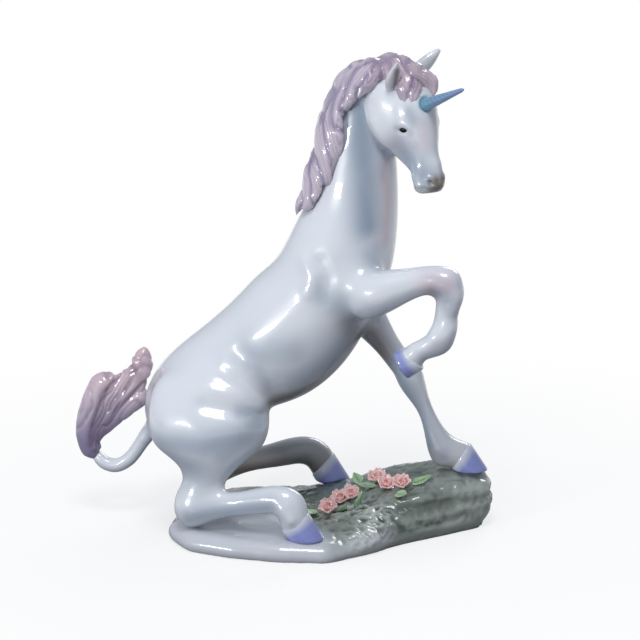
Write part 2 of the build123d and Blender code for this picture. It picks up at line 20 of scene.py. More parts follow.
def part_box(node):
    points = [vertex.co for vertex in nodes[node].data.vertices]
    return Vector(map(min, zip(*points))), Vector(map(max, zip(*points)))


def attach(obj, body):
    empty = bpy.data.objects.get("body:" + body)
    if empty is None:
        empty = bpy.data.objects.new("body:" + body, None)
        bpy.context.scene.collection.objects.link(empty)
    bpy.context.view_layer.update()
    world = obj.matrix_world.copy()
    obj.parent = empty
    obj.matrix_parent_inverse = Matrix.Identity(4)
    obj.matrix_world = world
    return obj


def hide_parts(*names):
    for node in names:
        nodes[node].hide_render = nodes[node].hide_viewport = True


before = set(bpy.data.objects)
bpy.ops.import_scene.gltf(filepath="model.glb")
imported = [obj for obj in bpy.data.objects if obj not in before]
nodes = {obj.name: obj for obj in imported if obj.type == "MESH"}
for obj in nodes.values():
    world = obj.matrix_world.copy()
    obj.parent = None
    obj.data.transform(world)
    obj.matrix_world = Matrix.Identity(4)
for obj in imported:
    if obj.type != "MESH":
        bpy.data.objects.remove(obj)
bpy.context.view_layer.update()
scene = bpy.context.scene
MM = 0.001

# %% [markdown]
# The photograph was taken from a little above, with a long lens. Its 640 pixel frame, the
# lens and the aim point are enough to turn a pixel into a line of sight, so a crease or a
# lock of hair can be drawn where the photograph shows it and dropped on the surface below.

# %% Camera and lines of sight
IMAGE_PX = 640
FOCAL_PX = 2600
SENSOR_MM = 36
CAMERA_DISTANCE = 1.3
CLIP_END = 20
CAMERA_TURN = math.radians(10)
CAMERA_RISE = math.radians(15)
AIM = Vector((-0.005, 0, 0.110))

level = math.cos(CAMERA_RISE)
BACK = Vector((math.sin(CAMERA_TURN) * level, -math.cos(CAMERA_TURN) * level, math.sin(CAMERA_RISE)))
RIGHT = Vector((math.cos(CAMERA_TURN), math.sin(CAMERA_TURN), 0))
UP = BACK.cross(RIGHT)
EYE = AIM + BACK * CAMERA_DISTANCE


def line_of_sight(x_px, y_px):
    across = RIGHT * (x_px - IMAGE_PX / 2)
    down = UP * (y_px - IMAGE_PX / 2)
    return ((across - down) / FOCAL_PX - BACK).normalized()


def seen_on(tree, pixels):
    """A surface's points and normals under a line of pixels; a pixel that misses takes the nearest."""
    places = []
    for pixel in pixels:
        ray = line_of_sight(*pixel)
        hit = tree.ray_cast(EYE, ray)
        if hit[0] is None:
            hit = tree.find_nearest(EYE + ray * CAMERA_DISTANCE)
        places.append((hit[0], hit[1]))
    return places


def line_on(tree, pixels):
    """The points alone, as a line drawn on the surface."""
    return [place for place, _ in seen_on(tree, pixels)]


lens = bpy.data.cameras.new("studio_camera")
lens.sensor_width = SENSOR_MM
lens.lens = FOCAL_PX * SENSOR_MM / IMAGE_PX
lens.clip_end = CLIP_END
camera = bpy.data.objects.new("studio_camera", lens)
camera.matrix_world = Matrix.Translation(EYE) @ Matrix((RIGHT, UP, BACK)).transposed().to_4x4()
scene.collection.objects.link(camera)
scene.camera = camera
print("lens", round(lens.lens, 2), "mm")

# %% [markdown]
# Every finish here is the same stuff: porcelain, painted and covered in clear glaze. Blender's
# Principled shader has a coat layer, which is just what a glaze is, so the paint below can be
# a little rough while the coat stays wet-looking. Two small functions carry all the materials:
# one turns a web colour into linear light, and one adds a node with its settings and links.

# %% Colour and node helpers
GLAZE_IOR = 1.5
GLAZE_ROUGHNESS = 0.035
PAINT_ROUGHNESS = 0.30
POOL_DETAIL = 2.0
POOL_STRENGTH = 0.25
MOTTLE_DETAIL = 3.0


def linear(hex_code):
    channels = [int(hex_code[i : i + 2], 16) / 255 for i in (1, 3, 5)]
    return [c / 12.92 if c <= 0.04045 else ((c + 0.055) / 1.055) ** 2.4 for c in channels] + [1.0]


def add_node(material, kind, settings=None, inputs=None):
    """Adds a node; an input is a number, a colour, or the output socket that feeds it."""
    node = material.node_tree.nodes.new(kind)
    for name, value in (settings or {}).items():
        setattr(node, name, value)
    for name, value in (inputs or {}).items():
        if isinstance(value, bpy.types.NodeSocket):
            material.node_tree.links.new(value, node.inputs[name])
        else:
            node.inputs[name].default_value = value
    return node


def new_material(name):
    material = bpy.data.materials.new(name)
    material.use_nodes = True
    material.node_tree.nodes.clear()
    return material


def glazed(name, colour_of, pool_mm=7.0, pool_depth_mm=0.05, coat=1.0):
    """Painted porcelain under clear glaze; colour_of returns the paint's colour socket."""
    material = new_material(name)
    place = add_node(material, "ShaderNodeTexCoord").outputs["Object"]
    pooling = add_node(
        material,
        "ShaderNodeTexNoise",
        inputs={"Vector": place, "Scale": 1 / (pool_mm * MM), "Detail": POOL_DETAIL},
    )
    bump = add_node(
        material,
        "ShaderNodeBump",
        inputs={
            "Strength": POOL_STRENGTH,
            "Distance": pool_depth_mm * MM,
            "Height": pooling.outputs["Fac"],
        },
    )
    shader = add_node(
        material,
        "ShaderNodeBsdfPrincipled",
        inputs={
            "Base Color": colour_of(material, place),
            "Roughness": PAINT_ROUGHNESS,
            "IOR": GLAZE_IOR,
            "Coat Weight": coat,
            "Coat Roughness": GLAZE_ROUGHNESS,
            "Coat IOR": GLAZE_IOR,
            "Coat Normal": bump.outputs["Normal"],
        },
    )
    add_node(material, "ShaderNodeOutputMaterial", inputs={"Surface": shader.outputs["BSDF"]})
    return material


def layered(ground, mottle, layers, mottle_mm=16.0):
    """A mottled ground, then each airbrushed layer over it where the layer's attribute is strong."""

    def colour_of(material, place):
        cloud = add_node(
            material,
            "ShaderNodeTexNoise",
            inputs={"Vector": place, "Scale": 1 / (mottle_mm * MM), "Detail": MOTTLE_DETAIL},
        )
        colour = add_node(
            material,
            "ShaderNodeMixRGB",
            inputs={"Fac": cloud.outputs["Fac"], "Color1": linear(ground), "Color2": linear(mottle)},
        ).outputs["Color"]
        for layer, paint in layers:
            mask = add_node(material, "ShaderNodeAttribute", {"attribute_name": layer}).outputs["Fac"]
            over = {"Fac": mask, "Color1": colour, "Color2": linear(paint)}
            colour = add_node(material, "ShaderNodeMixRGB", inputs=over).outputs["Color"]
        return colour

    return colour_of


print("glaze: IOR", GLAZE_IOR, "roughness", GLAZE_ROUGHNESS)

# %% [markdown]
# The paints, read from the photograph: a cool white with slate blue painted as shade in the hollows and
# underneath, rose where the form turns away, which is a painted warm reflection on the neck and painted
# shade at the knee, and umber painted as shade under the belly and on the far legs; lilac hair with
# violet painted as shade in its grooves, a blue horn with painted shade in its twist, periwinkle hooves,
# a grey-green rock with painted shade in its recesses and painted highlights on its crests, pink petals
# and pale green leaves. Layer names are the names of mesh attributes that later cells spray on.

# %% Paints, with painted shade and painted highlights
EYE_SPECULAR = 0.15
# Slip-cast body under a wet gloss: a full, milky white whose soft-edged colour is mostly painted shade
# and painted reflection, with a little of the figure's own airbrushed tint.
WHITE = glazed(
    "porcelain_white_glaze",
    layered(
        "#D8DFE8",
        "#E0E4EA",
        (("slate", "#7489A0"), ("rose", "#C8AEBB"), ("umber", "#6E635B"), ("ink", "#15161A")),
    ),
)
# Pressed locks, combed with a needle: pale crests, with violet painted into the grooves as shade.
MANE = glazed(
    "porcelain_mane_glaze",
    layered("#C2B8C9", "#CDC1CD", (("rose", "#C6AAB2"), ("groove", "#6E648A"))),
)
# The tail's locks are painted in the same way, darker at the root and warmer at the tips.
TAIL = glazed(
    "porcelain_tail_glaze",
    layered("#C3B3C5", "#CFC0CC", (("violet", "#736A92"), ("rose", "#CDB2BC"), ("groove", "#6C5B75"))),
)
# A rolled cone in blue, whose fine uneven glaze breaks the light along the twist; the darker blue in the
# twist's grooves is painted shade.
HORN = glazed(
    "porcelain_horn_glaze",
    layered("#5A95AE", "#6FA6C2", (("tip", "#7E93C8"), ("groove", "#4C7A9E")), mottle_mm=4.0),
    pool_mm=1.5,
    pool_depth_mm=0.25,
)
# Periwinkle brushed on the casting: deeper near the ground, fading out where the hair begins.
HOOF = glazed(
    "porcelain_hoof_glaze",
    layered("#8A93D0", "#9AA2D7", (("groove", "#636DB8"), ("feather", "#CFD5E2")), mottle_mm=5.0),
)
# Rough modelled paste in grey-green: painted highlights as pale glints on the crests, and painted shade
# in the recesses.
ROCK = glazed(
    "porcelain_rock_glaze",
    layered(
        "#87938A",
        "#9DA79F",
        (("moss", "#58655A"), ("recess", "#3B473E"), ("crest", "#C9D1CB"), ("slab", "#C4C9D1")),
    ),
    pool_mm=4.0,
)
# Paste pinched by hand, deep pink at the heart and pale at the rim.
PETAL = glazed(
    "porcelain_petal_glaze",
    layered("#F3C2C0", "#F9E0DA", (("groove", "#E08D90"),), mottle_mm=3.0),
    pool_mm=2.0,
)
# Paste cut to shape, pale green with a darker rib.
LEAF = glazed(
    "porcelain_leaf_glaze",
    layered("#93BF8B", "#B9D6AC", (("groove", "#5E8A5A"),), mottle_mm=3.0),
    pool_mm=2.0,
)
# Black enamel with little shine of its own, so that each eye stays a dark point.
EYE_BLACK = glazed("porcelain_eye_glaze", layered("#020203", "#040405", ()), pool_mm=2.0, coat=0.0)
EYE_BLACK.node_tree.nodes["Principled BSDF"].inputs["Specular IOR Level"].default_value = EYE_SPECULAR
print("paints:", [m.name for m in bpy.data.materials if m.name.startswith("porcelain")])

# %% [markdown]
# Clay: the castings are smooth, full forms with soft creases. We copy the solids' meshes,
# weld them, and let the Remesh modifier turn them into one even skin of small squares.
# That skin can then be pushed around like clay, because it has a point every millimetre or less.

# %% Fine copies of the solids
WELD = 0.01 * MM
CORE_SCALE = 0.95


def keep_largest_island(bm):
    left = set(bm.verts)
    largest = []
    while left:
        stack = [left.pop()]
        island = list(stack)
        while stack:
            for edge in stack.pop().link_edges:
                for vert in edge.verts:
                    if vert in left:
                        left.remove(vert)
                        stack.append(vert)
                        island.append(vert)
        if len(island) > len(largest):
            largest = island
    kept = set(largest)
    bmesh.ops.delete(bm, geom=[v for v in bm.verts if v not in kept], context="VERTS")


def even_skin(bm, voxel):
    """One even skin of small squares over all the closed shapes in a bmesh."""
    bmesh.ops.remove_doubles(bm, verts=bm.verts, dist=WELD)
    rough = bpy.data.meshes.new("clay")
    bm.to_mesh(rough)
    bm.free()
    block = bpy.data.objects.new("clay", rough)
    scene.collection.objects.link(block)
    remesh = block.modifiers.new("remesh", "REMESH")
    remesh.mode = "VOXEL"
    remesh.voxel_size = voxel
    bpy.context.view_layer.update()
    made = block.evaluated_get(bpy.context.evaluated_depsgraph_get())
    even = bpy.data.meshes.new_from_object(made)
    bpy.data.objects.remove(block)
    bpy.data.meshes.remove(rough)
    bm = bmesh.new()
    bm.from_mesh(even)
    keep_largest_island(bm)
    bm.to_mesh(even)
    bm.free()
    return even


def fine_copy(names, voxel, cores=()):
    """One even skin over some solids; cores are taken a little smaller, to lie inside another piece."""
    bm = bmesh.new()
    for name in (*names, *cores):
        start = len(bm.verts)
        bm.from_mesh(nodes[name].data)
        bm.verts.ensure_lookup_table()
        if name in cores:
            own = bm.verts[start:]
            middle = sum((v.co for v in own), Vector()) / len(own)
            bmesh.ops.scale(bm, vec=[CORE_SCALE] * 3, space=Matrix.Translation(-middle), verts=own)
    return even_skin(bm, voxel)


def tree_of(names):
    bm = bmesh.new()
    for name in names:
        bm.from_mesh(nodes[name].data)
    tree = BVHTree.FromBMesh(bm)
    bm.free()
    return tree


def mesh_from(bm, name):
    mesh = bpy.data.meshes.new(name)
    bm.to_mesh(mesh)
    bm.free()
    return mesh


print("copies are welded at", WELD / MM, "mm")

# %% [markdown]
# A modeller works clay with a thumb, a loop tool and a fine spray gun. The class below has the same
# tools. Softening moves each point towards the middle of its neighbours, more where the skin is hollow
# than where it is full, so creases fill with a fillet of slip and the forms keep their size. A press
# raises or sinks the skin along a line. The spray lays a colour along a line, which is the figure's own
# tint in some places and painted shade and highlights in others. The comb scratches strands of hair that
# follow several lines at once, and it puts painted shade in their grooves.

# %% Clay tools
FRESH_NORMALS = 5
TINY = 1e-12
STRAND_DRIFT_MM = 11.0
STRAND_STAGGER = 0.37
STRAND_DEPTH = 0.65
STRAND_VARIETY = 0.6
STRAND_SHADE = 0.5
PARTING_SHADE = 0.6


class Clay:
    def __init__(self, mesh):
        self.mesh = mesh
        self.co = np.zeros(len(mesh.vertices) * 3)
        mesh.vertices.foreach_get("co", self.co)
        self.co = self.co.reshape(-1, 3)
        ends = np.zeros(len(mesh.edges) * 2, dtype=np.int64)
        mesh.edges.foreach_get("vertices", ends)
        self.ends = ends.reshape(-1, 2)
        self.layers = {}

    def write(self):
        self.mesh.vertices.foreach_set("co", self.co.ravel())
        self.mesh.update()

    def normals(self):
        self.write()
        flat = np.zeros(len(self.co) * 3)
        self.mesh.vertex_normals.foreach_get("vector", flat)
        return flat.reshape(-1, 3)

    def tree(self):
        self.write()
        bm = bmesh.new()
        bm.from_mesh(self.mesh)
        tree = BVHTree.FromBMesh(bm)
        bm.free()
        return tree

    def soften(self, rounds, hollow=0.6, full=0.2, where=1.0):
        """Moves points to their neighbours' middle, at one rate in hollows and another on full forms."""
        first, second = self.ends.T
        count = len(self.co)
        degree = np.bincount(first, minlength=count) + np.bincount(second, minlength=count)
        for turn in range(rounds):
            if turn % FRESH_NORMALS == 0:
                out = self.normals()
            middle = np.empty_like(self.co)
            for axis in range(3):
                values = self.co[:, axis]
                total = np.bincount(first, values[second], count)
                total = total + np.bincount(second, values[first], count)
                middle[:, axis] = total / degree
            move = middle - self.co
            rate = np.where((move * out).sum(1) > 0, hollow, full)
            self.co += move * (rate * where)[:, None]

    def distance(self, line):
        """How far each point is from a line of one or more points."""
        line = np.array([tuple(p) for p in line])
        if len(line) == 1:
            return np.linalg.norm(self.co - line[0], axis=1)
        nearest = np.full(len(self.co), np.inf)
        for start, end in zip(line[:-1], line[1:]):
            along = end - start
            share = np.clip((self.co - start) @ along / max(along @ along, TINY), 0, 1)
            gap = self.co - start - share[:, None] * along
            nearest = np.minimum(nearest, np.linalg.norm(gap, axis=1))
        return nearest

    def around(self, line, reach):
        """1 on a line, falling off softly over a reach in millimetres."""
        return np.exp(-((self.distance(line) / (reach * MM)) ** 2))

    def beside(self, line, out):
        """How far each point is from a line, and how far to the side of it along the skin."""
        line = np.array([tuple(p) for p in line])
        nearest = np.full(len(self.co), np.inf)
        aside = np.zeros(len(self.co))
        for start, end in zip(line[:-1], line[1:]):
            along = end - start
            length = np.linalg.norm(along)
            share = np.clip((self.co - start) @ along / length**2, 0, 1)
            gap = self.co - start - share[:, None] * along
            far = np.linalg.norm(gap, axis=1)
            closer = far < nearest
            nearest[closer] = far[closer]
            aside[closer] = (gap * np.cross(out, along / length)).sum(1)[closer]
        return nearest, aside

    def comb(self, lines, pitch, depth, parting_width, parting_depth):
        """Strands along the nearest line, and a deeper parting where two lines are equally near."""
        out = self.normals()
        found = [self.beside(line, out) for line in lines]
        gaps = np.array([gap for gap, _ in found])
        nearest, second = np.sort(gaps, axis=0)[:2]
        lock = gaps.argmin(axis=0)
        aside = np.array([side for _, side in found])[lock, np.arange(len(lock))]
        drift = np.array([noise.noise(Vector(p) / (STRAND_DRIFT_MM * MM)) for p in self.co])
        strand = np.abs(np.cos(np.pi * (aside / (pitch * MM) + STRAND_STAGGER * lock + drift)))
        groove = (1 - strand) ** 2 * (STRAND_DEPTH + STRAND_VARIETY * drift)
        parting = np.exp(-(((second - nearest) / (parting_width * MM)) ** 2))
        self.co -= out * (groove * depth * MM + parting * parting_depth * MM)[:, None]
        # Painted shade: violet darkens the grooves between strands and the partings.
        self.shade("groove", STRAND_SHADE * groove + PARTING_SHADE * parting)

    def press(self, line, radius, height):
        falloff = self.around(line, radius)
        self.co += self.normals() * (falloff * height * MM)[:, None]

    # Lays a colour along a line: the figure's own tint in some places, painted shade and highlights in
    # others.
    def spray_tint_and_shade(self, layer, line, radius, strength):
        self.shade(layer, strength * self.around(line, radius))

    def shade(self, layer, values):
        self.layers[layer] = np.maximum(self.layers.get(layer, 0), np.clip(values, 0, 1))

    def finish(self):
        self.write()
        for layer, values in self.layers.items():
            attribute = self.mesh.attributes.new(layer, "FLOAT", "POINT")
            attribute.data.foreach_set("value", np.asarray(values, dtype=np.float32))
        return self.mesh


def press_lines(clay, lines):
    """Presses lines of pixels one after another, each on the skin that the last one left."""
    for pixels, radius, height in lines:
        clay.press(line_on(clay.tree(), pixels), radius, height)


print("a comb's strands wander over", STRAND_DRIFT_MM, "mm")

# %% [markdown]
# A finished skin becomes an object with its paint. It rides the figure's one body and takes the place of
# the solids that it covers.

# %% Pieces


def add_piece(name, mesh, material, slot, *replaced):
    mesh.name = name
    mesh.materials.clear()
    mesh.materials.append(material)
    mesh.shade_smooth()
    piece = bpy.data.objects.new(name, mesh)
    scene.collection.objects.link(piece)
    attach(piece, "root")
    if replaced:
        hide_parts(*replaced)
    print(name, len(mesh.polygons), "faces")
    return piece


# %% [markdown]
# The body: torso, neck, legs and the white root of the tail are luted together and glazed over,
# so on the real figure they have one unbroken skin. The head and the hooves go in as slightly
# smaller cores, because pieces of their own lie over them. Two joints, behind the croup and at
# the raised leg's elbow, are worked smooth once more.

# %% White skin
BODY_VOXEL = 1.0 * MM
LEGS = ("right_fore", "left_fore", "right_hind", "left_hind")
body_nodes = ["torso", "neck", "tail_dock"]
body_nodes += [f"{leg}_{part}" for leg in LEGS for part in ("upper", "shank")]
hoof_nodes = [f"{leg}_hoof" for leg in LEGS]
body = Clay(fine_copy(body_nodes, BODY_VOXEL, cores=("head", *hoof_nodes)))
body.soften(rounds=110, hollow=0.7, full=0.06)
CROUP_SEAM = ((176, 376), (164, 382), (156, 396), (153, 420), (154, 448))
seam = line_on(body.tree(), CROUP_SEAM)
body.soften(rounds=420, hollow=0.9, full=0.4, where=body.around(seam, reach=13))
ELBOW_SEAM = ((356, 268), (346, 280), (345, 295), (351, 309), (362, 318))
seam = line_on(body.tree(), ELBOW_SEAM)
body.soften(rounds=220, hollow=0.8, full=0.3, where=body.around(seam, reach=8))
body_skin = body.tree()
print("white skin:", len(body.co), "points")

# %% [markdown]
# The muscles: a groove parts the thigh's two bulges, the flank and stifle are hollowed, and
# the chest is fluted where the raised leg pulls the skin. The croup, the raised leg's cannon
# and fetlock and the hind heel are built up. The lines are drawn in pixels of the photograph
# and dropped on the skin; each has a radius and a height in millimetres.

# %% Muscles and folds
THIGH_GROOVE = ((206, 404), (232, 410), (262, 416))
THIGH_UPPER_BULGE = ((190, 378), (216, 392), (240, 396))
THIGH_LOWER_BULGE = ((186, 420), (205, 432), (235, 428))
STIFLE_HOLLOW = ((222, 452), (246, 448))
CHEST_RIDGE = ((306, 262), (313, 276), (309, 292))
CHEST_GROOVE = ((321, 262), (327, 277), (323, 294))
THIGH_EDGE = ((226, 364), (244, 373), (256, 387), (263, 402))
FLANK_HOLLOW = ((240, 356), (258, 370), (271, 390))
ELBOW_POINT = ((357, 311), (362, 315))
CROUP_FILL = ((163, 390), (159, 405), (158, 420), (160, 434))
DOCK = ((104, 462), (116, 466), (130, 458), (142, 442))
RAISED_FETLOCK = ((415, 350), (424, 345), (433, 338))
CANNON_FRONT = ((456, 301), (450, 313), (450, 326))
CANNON_TOP = ((452, 308), (453, 313))
CANNON_BACK = ((440, 306), (438, 319))
JAW_SHADOW = ((363, 106), (366, 122), (375, 139), (388, 152))
HEEL = ((283, 511), (290, 520))
body_lines = (
    (THIGH_GROOVE, 4.5, -2.2),
    (THIGH_UPPER_BULGE, 8.0, 1.1),
    (THIGH_LOWER_BULGE, 8.0, 1.3),
    (THIGH_EDGE, 6.0, 1.2),
    (FLANK_HOLLOW, 6.0, -1.2),
    (ELBOW_POINT, 4.5, 2.0),
    (CROUP_FILL, 10.0, 4.6),
    (DOCK, 4.0, 0.8),
    (STIFLE_HOLLOW, 7.0, -0.8),
    (CHEST_RIDGE, 4.0, 1.3),
    (CHEST_GROOVE, 4.0, -1.5),
    (JAW_SHADOW, 3.0, -1.6),
    (HEEL, 4.0, 2.2),
    (RAISED_FETLOCK, 5.0, 2.4),
    (CANNON_FRONT, 7.0, 2.8),
    (CANNON_BACK, 5.0, -1.6),
    (CANNON_TOP, 4.0, 1.6),
)
for pixels, radius, height in body_lines:
    body.press(line_on(body_skin, pixels), radius, height)
croup = line_on(body.tree(), CROUP_FILL)
body.soften(rounds=80, hollow=0.6, full=0.4, where=body.around(croup, reach=14))
body.soften(rounds=6, hollow=0.4, full=0.3)
print(len(body_lines), "folds pressed")

# %% [markdown]
# Painted shade on the white figure, which carries a little of its own airbrushed tint as well: slate in
# the hollows and underneath, rose as a painted warm reflection where the neck turns and as painted shade
# at the knee, and umber as painted shade along the belly and on the far legs. Each stroke is a line of
# pixels with a radius in millimetres and a strength, kept as an attribute that the paint reads.

# %% Painted shade on the body
UMBER_TOP = 0.050
UMBER_FADE = 0.030
FAR_LEGS = 0.004
FAR_FADE = 0.012
FAR_LEG_SHADE = 0.95
INNER_BIAS = 0.45
INNER_SLOPE = 0.9
UNDERSIDE_SHADE = 0.6
# These strokes are painted shade, and on the side of the neck a painted dark reflection too. The rose
# down the front of the neck is a painted warm reflection.
body_shade_and_tint = (
    ("side of the neck", "slate", ((360, 112), (360, 140), (366, 175), (368, 225)), 9.0, 0.80),
    ("under the jaw", "slate", ((366, 122), (376, 142), (388, 153)), 5.0, 0.70),
    ("front of the neck", "rose", ((385, 165), (388, 200), (386, 240)), 4.0, 0.55),
    ("belly", "slate", ((300, 385), (330, 365), (355, 335)), 12.0, 0.55),
    ("elbow fold", "slate", ((340, 300), (352, 312), (368, 320)), 7.0, 0.45),
    ("back of the rump", "slate", ((150, 425), (165, 452), (190, 470)), 12.0, 0.55),
    ("stifle", "slate", ((222, 452), (245, 440), (262, 418)), 8.0, 0.50),
    ("near hind shank", "slate", ((190, 518), (230, 512), (270, 506)), 6.0, 0.55),
    ("under the raised forearm", "slate", ((388, 316), (420, 304), (440, 293)), 4.0, 0.60),
    ("raised knee", "slate", ((446, 290), (450, 312)), 4.0, 0.50),
    ("top of the far foreleg", "umber", ((372, 336), (384, 352)), 7.0, 0.75),
    ("belly line", "umber", ((272, 402), (300, 393), (330, 376), (352, 350), (360, 330)), 6.0, 0.80),
    ("flank", "slate", ((250, 352), (272, 350), (292, 352)), 9.0, 0.40),
    ("before the thigh", "slate", ((246, 360), (260, 374), (270, 388)), 5.0, 0.40),
    ("behind the elbow", "slate", ((326, 297), (340, 305), (358, 313)), 7.5, 0.48),
    ("foot of the neck", "slate", ((368, 225), (374, 245), (372, 262)), 8.0, 0.40),
    ("thigh groove", "slate", ((240, 412), (264, 414)), 4.0, 0.50),
    ("lower thigh", "slate", ((165, 440), (200, 446), (240, 440)), 8.0, 0.55),
    ("edge of the raised forearm", "umber", ((376, 321), (396, 312), (420, 300), (432, 292)), 3.0, 0.55),
    ("front of the raised knee", "rose", ((428, 283), (446, 284)), 6.0, 0.55),
    ("back of the raised knee", "slate", ((436, 286), (447, 292), (446, 305)), 4.5, 0.45),
    ("brisket", "umber", ((348, 322), (354, 332), (352, 344)), 7.0, 0.50),
    ("standing fetlock", "slate", ((430, 450), (442, 456)), 4.5, 0.60),
    ("back of the standing leg", "slate", ((390, 362), (408, 392), (424, 424), (430, 445)), 5.0, 0.70),
)
for _, layer, pixels, radius, strength in body_shade_and_tint:
    body.spray_tint_and_shade(layer, line_on(body_skin, pixels), radius, strength)
# Painted shade: umber low on the far legs, on the side that faces the near legs.
low_down = np.clip((UMBER_TOP - body.co[:, 2]) / UMBER_FADE, 0, 1)
far_legs = np.clip((body.co[:, 1] - FAR_LEGS) / FAR_FADE, 0, 1)
inner_side = np.clip(INNER_BIAS - INNER_SLOPE * body.normals()[:, 1], 0, 1)
body.shade("umber", FAR_LEG_SHADE * low_down * far_legs * inner_side)
# Painted shade: slate on every surface that faces down.
facing_down = np.clip(-body.normals()[:, 2], 0, 1)
body.shade("slate", UNDERSIDE_SHADE * facing_down)
print("airbrushed:", ", ".join(name for name, *_ in body_shade_and_tint))
add_piece("porcelain_body", body.finish(), WHITE, "white_glaze", *body_nodes)

# %% [markdown]
# The head has the finest detail, so it gets a finer skin of its own: cheek and jaw standing
# clear of the neck, a brow over each eye, nostrils, and a small mouth. The muzzle and chin are
# filled out first. What the photograph shows on the near side is then mirrored through the
# middle of the head to the far side.

# %% Head
HEAD_VOXEL = 0.5 * MM
HEAD_TURN = math.radians(44)
head_side = Vector((math.sin(HEAD_TURN), math.cos(HEAD_TURN), 0))
low, high = (Vector(corner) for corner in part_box("head"))
head_middle = (low + high) / 2


def far_side(point):
    return point - head_side * (2 * (point - head_middle).dot(head_side))


def far_way(direction):
    return direction - head_side * (2 * direction.dot(head_side))


CHEEK_MIDDLE = Vector((30.6, -13.0, 217.0)) * MM
CHEEK_FACING = Vector((-0.36, -0.93, 0.0)).normalized()
CHEEK_SIZE = Vector((12.5, 17.5, 5.0)) * MM
CHEEK_TILT = math.radians(36)


def add_cheek(bm, place, facing, tilt):
    up = Matrix.Rotation(tilt, 3, facing) @ Vector((0, 0, 1))
    turn = Matrix((up.cross(facing), up, facing)).transposed().to_4x4()
    ball = bmesh.ops.create_uvsphere(bm, u_segments=32, v_segments=16, radius=1)["verts"]
    shape = Matrix.Translation(place) @ turn @ Matrix.Diagonal((*CHEEK_SIZE, 1))
    bmesh.ops.transform(bm, matrix=shape, verts=ball)


bm = bmesh.new()
bm.from_mesh(nodes["head"].data)
add_cheek(bm, CHEEK_MIDDLE, CHEEK_FACING, CHEEK_TILT)
add_cheek(bm, far_side(CHEEK_MIDDLE), far_way(CHEEK_FACING), -CHEEK_TILT)
head = Clay(even_skin(bm, HEAD_VOXEL))
head.soften(rounds=70, hollow=0.7, full=0.06)
MUZZLE_FRONT = ((438, 166), (440, 178))
CHIN = ((415, 177), (417, 186))
press_lines(head, ((MUZZLE_FRONT, 4.5, 1.8), (CHIN, 3.5, 1.3)))
head_skin = head.tree()
print("head:", len(head.co), "points")

# %% Face
EYE_PX = (403, 130)
eye_place, eye_out = seen_on(head_skin, (EYE_PX,))[0]
head_lines = (
    ("brow", ((396, 126), (402, 123), (409, 126)), 2.4, 0.6),
    ("lower lid", ((397, 134), (403, 136), (409, 134)), 1.6, 0.1),
    ("eye socket", ((400, 131), (406, 131)), 1.6, -0.25),
    ("hollow of the face", ((418, 150), (428, 170)), 4.0, -0.5),
    ("jaw", ((372, 122), (380, 138), (392, 150)), 3.5, 0.7),
    ("nostril", ((430, 182), (431, 184)), 0.9, -1.4),
    ("rim of the nostril", ((428, 178), (434, 181)), 1.4, 0.5),
    ("mouth", ((414, 187), (424, 188), (434, 191)), 0.7, -0.6),
    ("corner of the mouth", ((413, 184),), 1.5, -0.8),
)
for _, pixels, radius, height in head_lines:
    near = line_on(head_skin, pixels)
    head.press(near, radius, height)
    head.press([far_side(place) for place in near], radius, height)
head.soften(rounds=3, hollow=0.3, full=0.3)
print("pressed on both sides:", ", ".join(name for name, *_ in head_lines))

# %% [markdown]
# The head's colours are laid on in the same way, on both sides: slate as painted shade round the eye,
# down the face and under the forelock, rose on the nose, umber on the muzzle, and a touch of ink in each
# nostril.

# %% Colours and painted shade on the head
# The slate strokes are painted shade: in the eye socket, on the lower face and below the forelock.
head_tint_and_shade = (
    ("round the eye", "slate", ((397, 127), (409, 134)), 2.6, 0.45),
    ("side of the face", "slate", ((400, 146), (412, 160), (422, 176)), 7.0, 0.70),
    ("below the forelock", "slate", ((408, 112), (412, 120)), 3.5, 0.45),
    ("bridge of the nose", "rose", ((436, 124), (438, 145), (443, 165)), 3.5, 0.30),
    ("muzzle", "umber", ((434, 189), (440, 187), (443, 180)), 3.6, 1.0),
    ("nostril", "ink", ((430, 182),), 0.9, 1.0),
    ("mouth", "umber", ((414, 187), (424, 189), (434, 191)), 0.8, 0.7),
)
for _, layer, pixels, radius, strength in head_tint_and_shade:
    near = line_on(head_skin, pixels)
    head.spray_tint_and_shade(layer, near, radius, strength)
    head.spray_tint_and_shade(layer, [far_side(place) for place in near], radius, strength)
add_piece("porcelain_head", head.finish(), WHITE, "white_glaze", "head")

# %% [markdown]
# The eyes are almonds of black enamel, slightly domed. Each starts as a sphere, flattened and
# pointed at both corners, and is laid in its socket along the skin's normal.

# %% Eyes
EYE_LENGTH = 4.3 * MM
EYE_HEIGHT = 2.7 * MM
EYE_DOME = 1.1 * MM
EYE_SLANT = math.radians(-4)
EYE_POINT = 0.45
EYE_SINK = 0.1 * MM


def add_eye(name, place, out, level_line):
    along = (level_line - out * level_line.dot(out)).normalized()
    across = out.cross(along)
    bm = bmesh.new()
    bmesh.ops.create_uvsphere(bm, u_segments=32, v_segments=16, radius=1)
    for vert in bm.verts:
        vert.co.y *= 1 - EYE_POINT * vert.co.x**2
    bmesh.ops.scale(bm, vec=(EYE_LENGTH / 2, EYE_HEIGHT / 2, EYE_DOME / 2), verts=bm.verts)
    turn = Matrix((along, across, out)).transposed().to_4x4() @ Matrix.Rotation(EYE_SLANT, 4, "Z")
    bmesh.ops.transform(bm, matrix=Matrix.Translation(place) @ turn, verts=bm.verts)
    add_piece(name, mesh_from(bm, name), EYE_BLACK, "eye_glaze")


far_out = far_way(eye_out)
add_eye("right_eye", eye_place - eye_out * EYE_SINK, eye_out, RIGHT)
add_eye("left_eye", far_side(eye_place) - far_out * EYE_SINK, far_out, far_way(RIGHT))

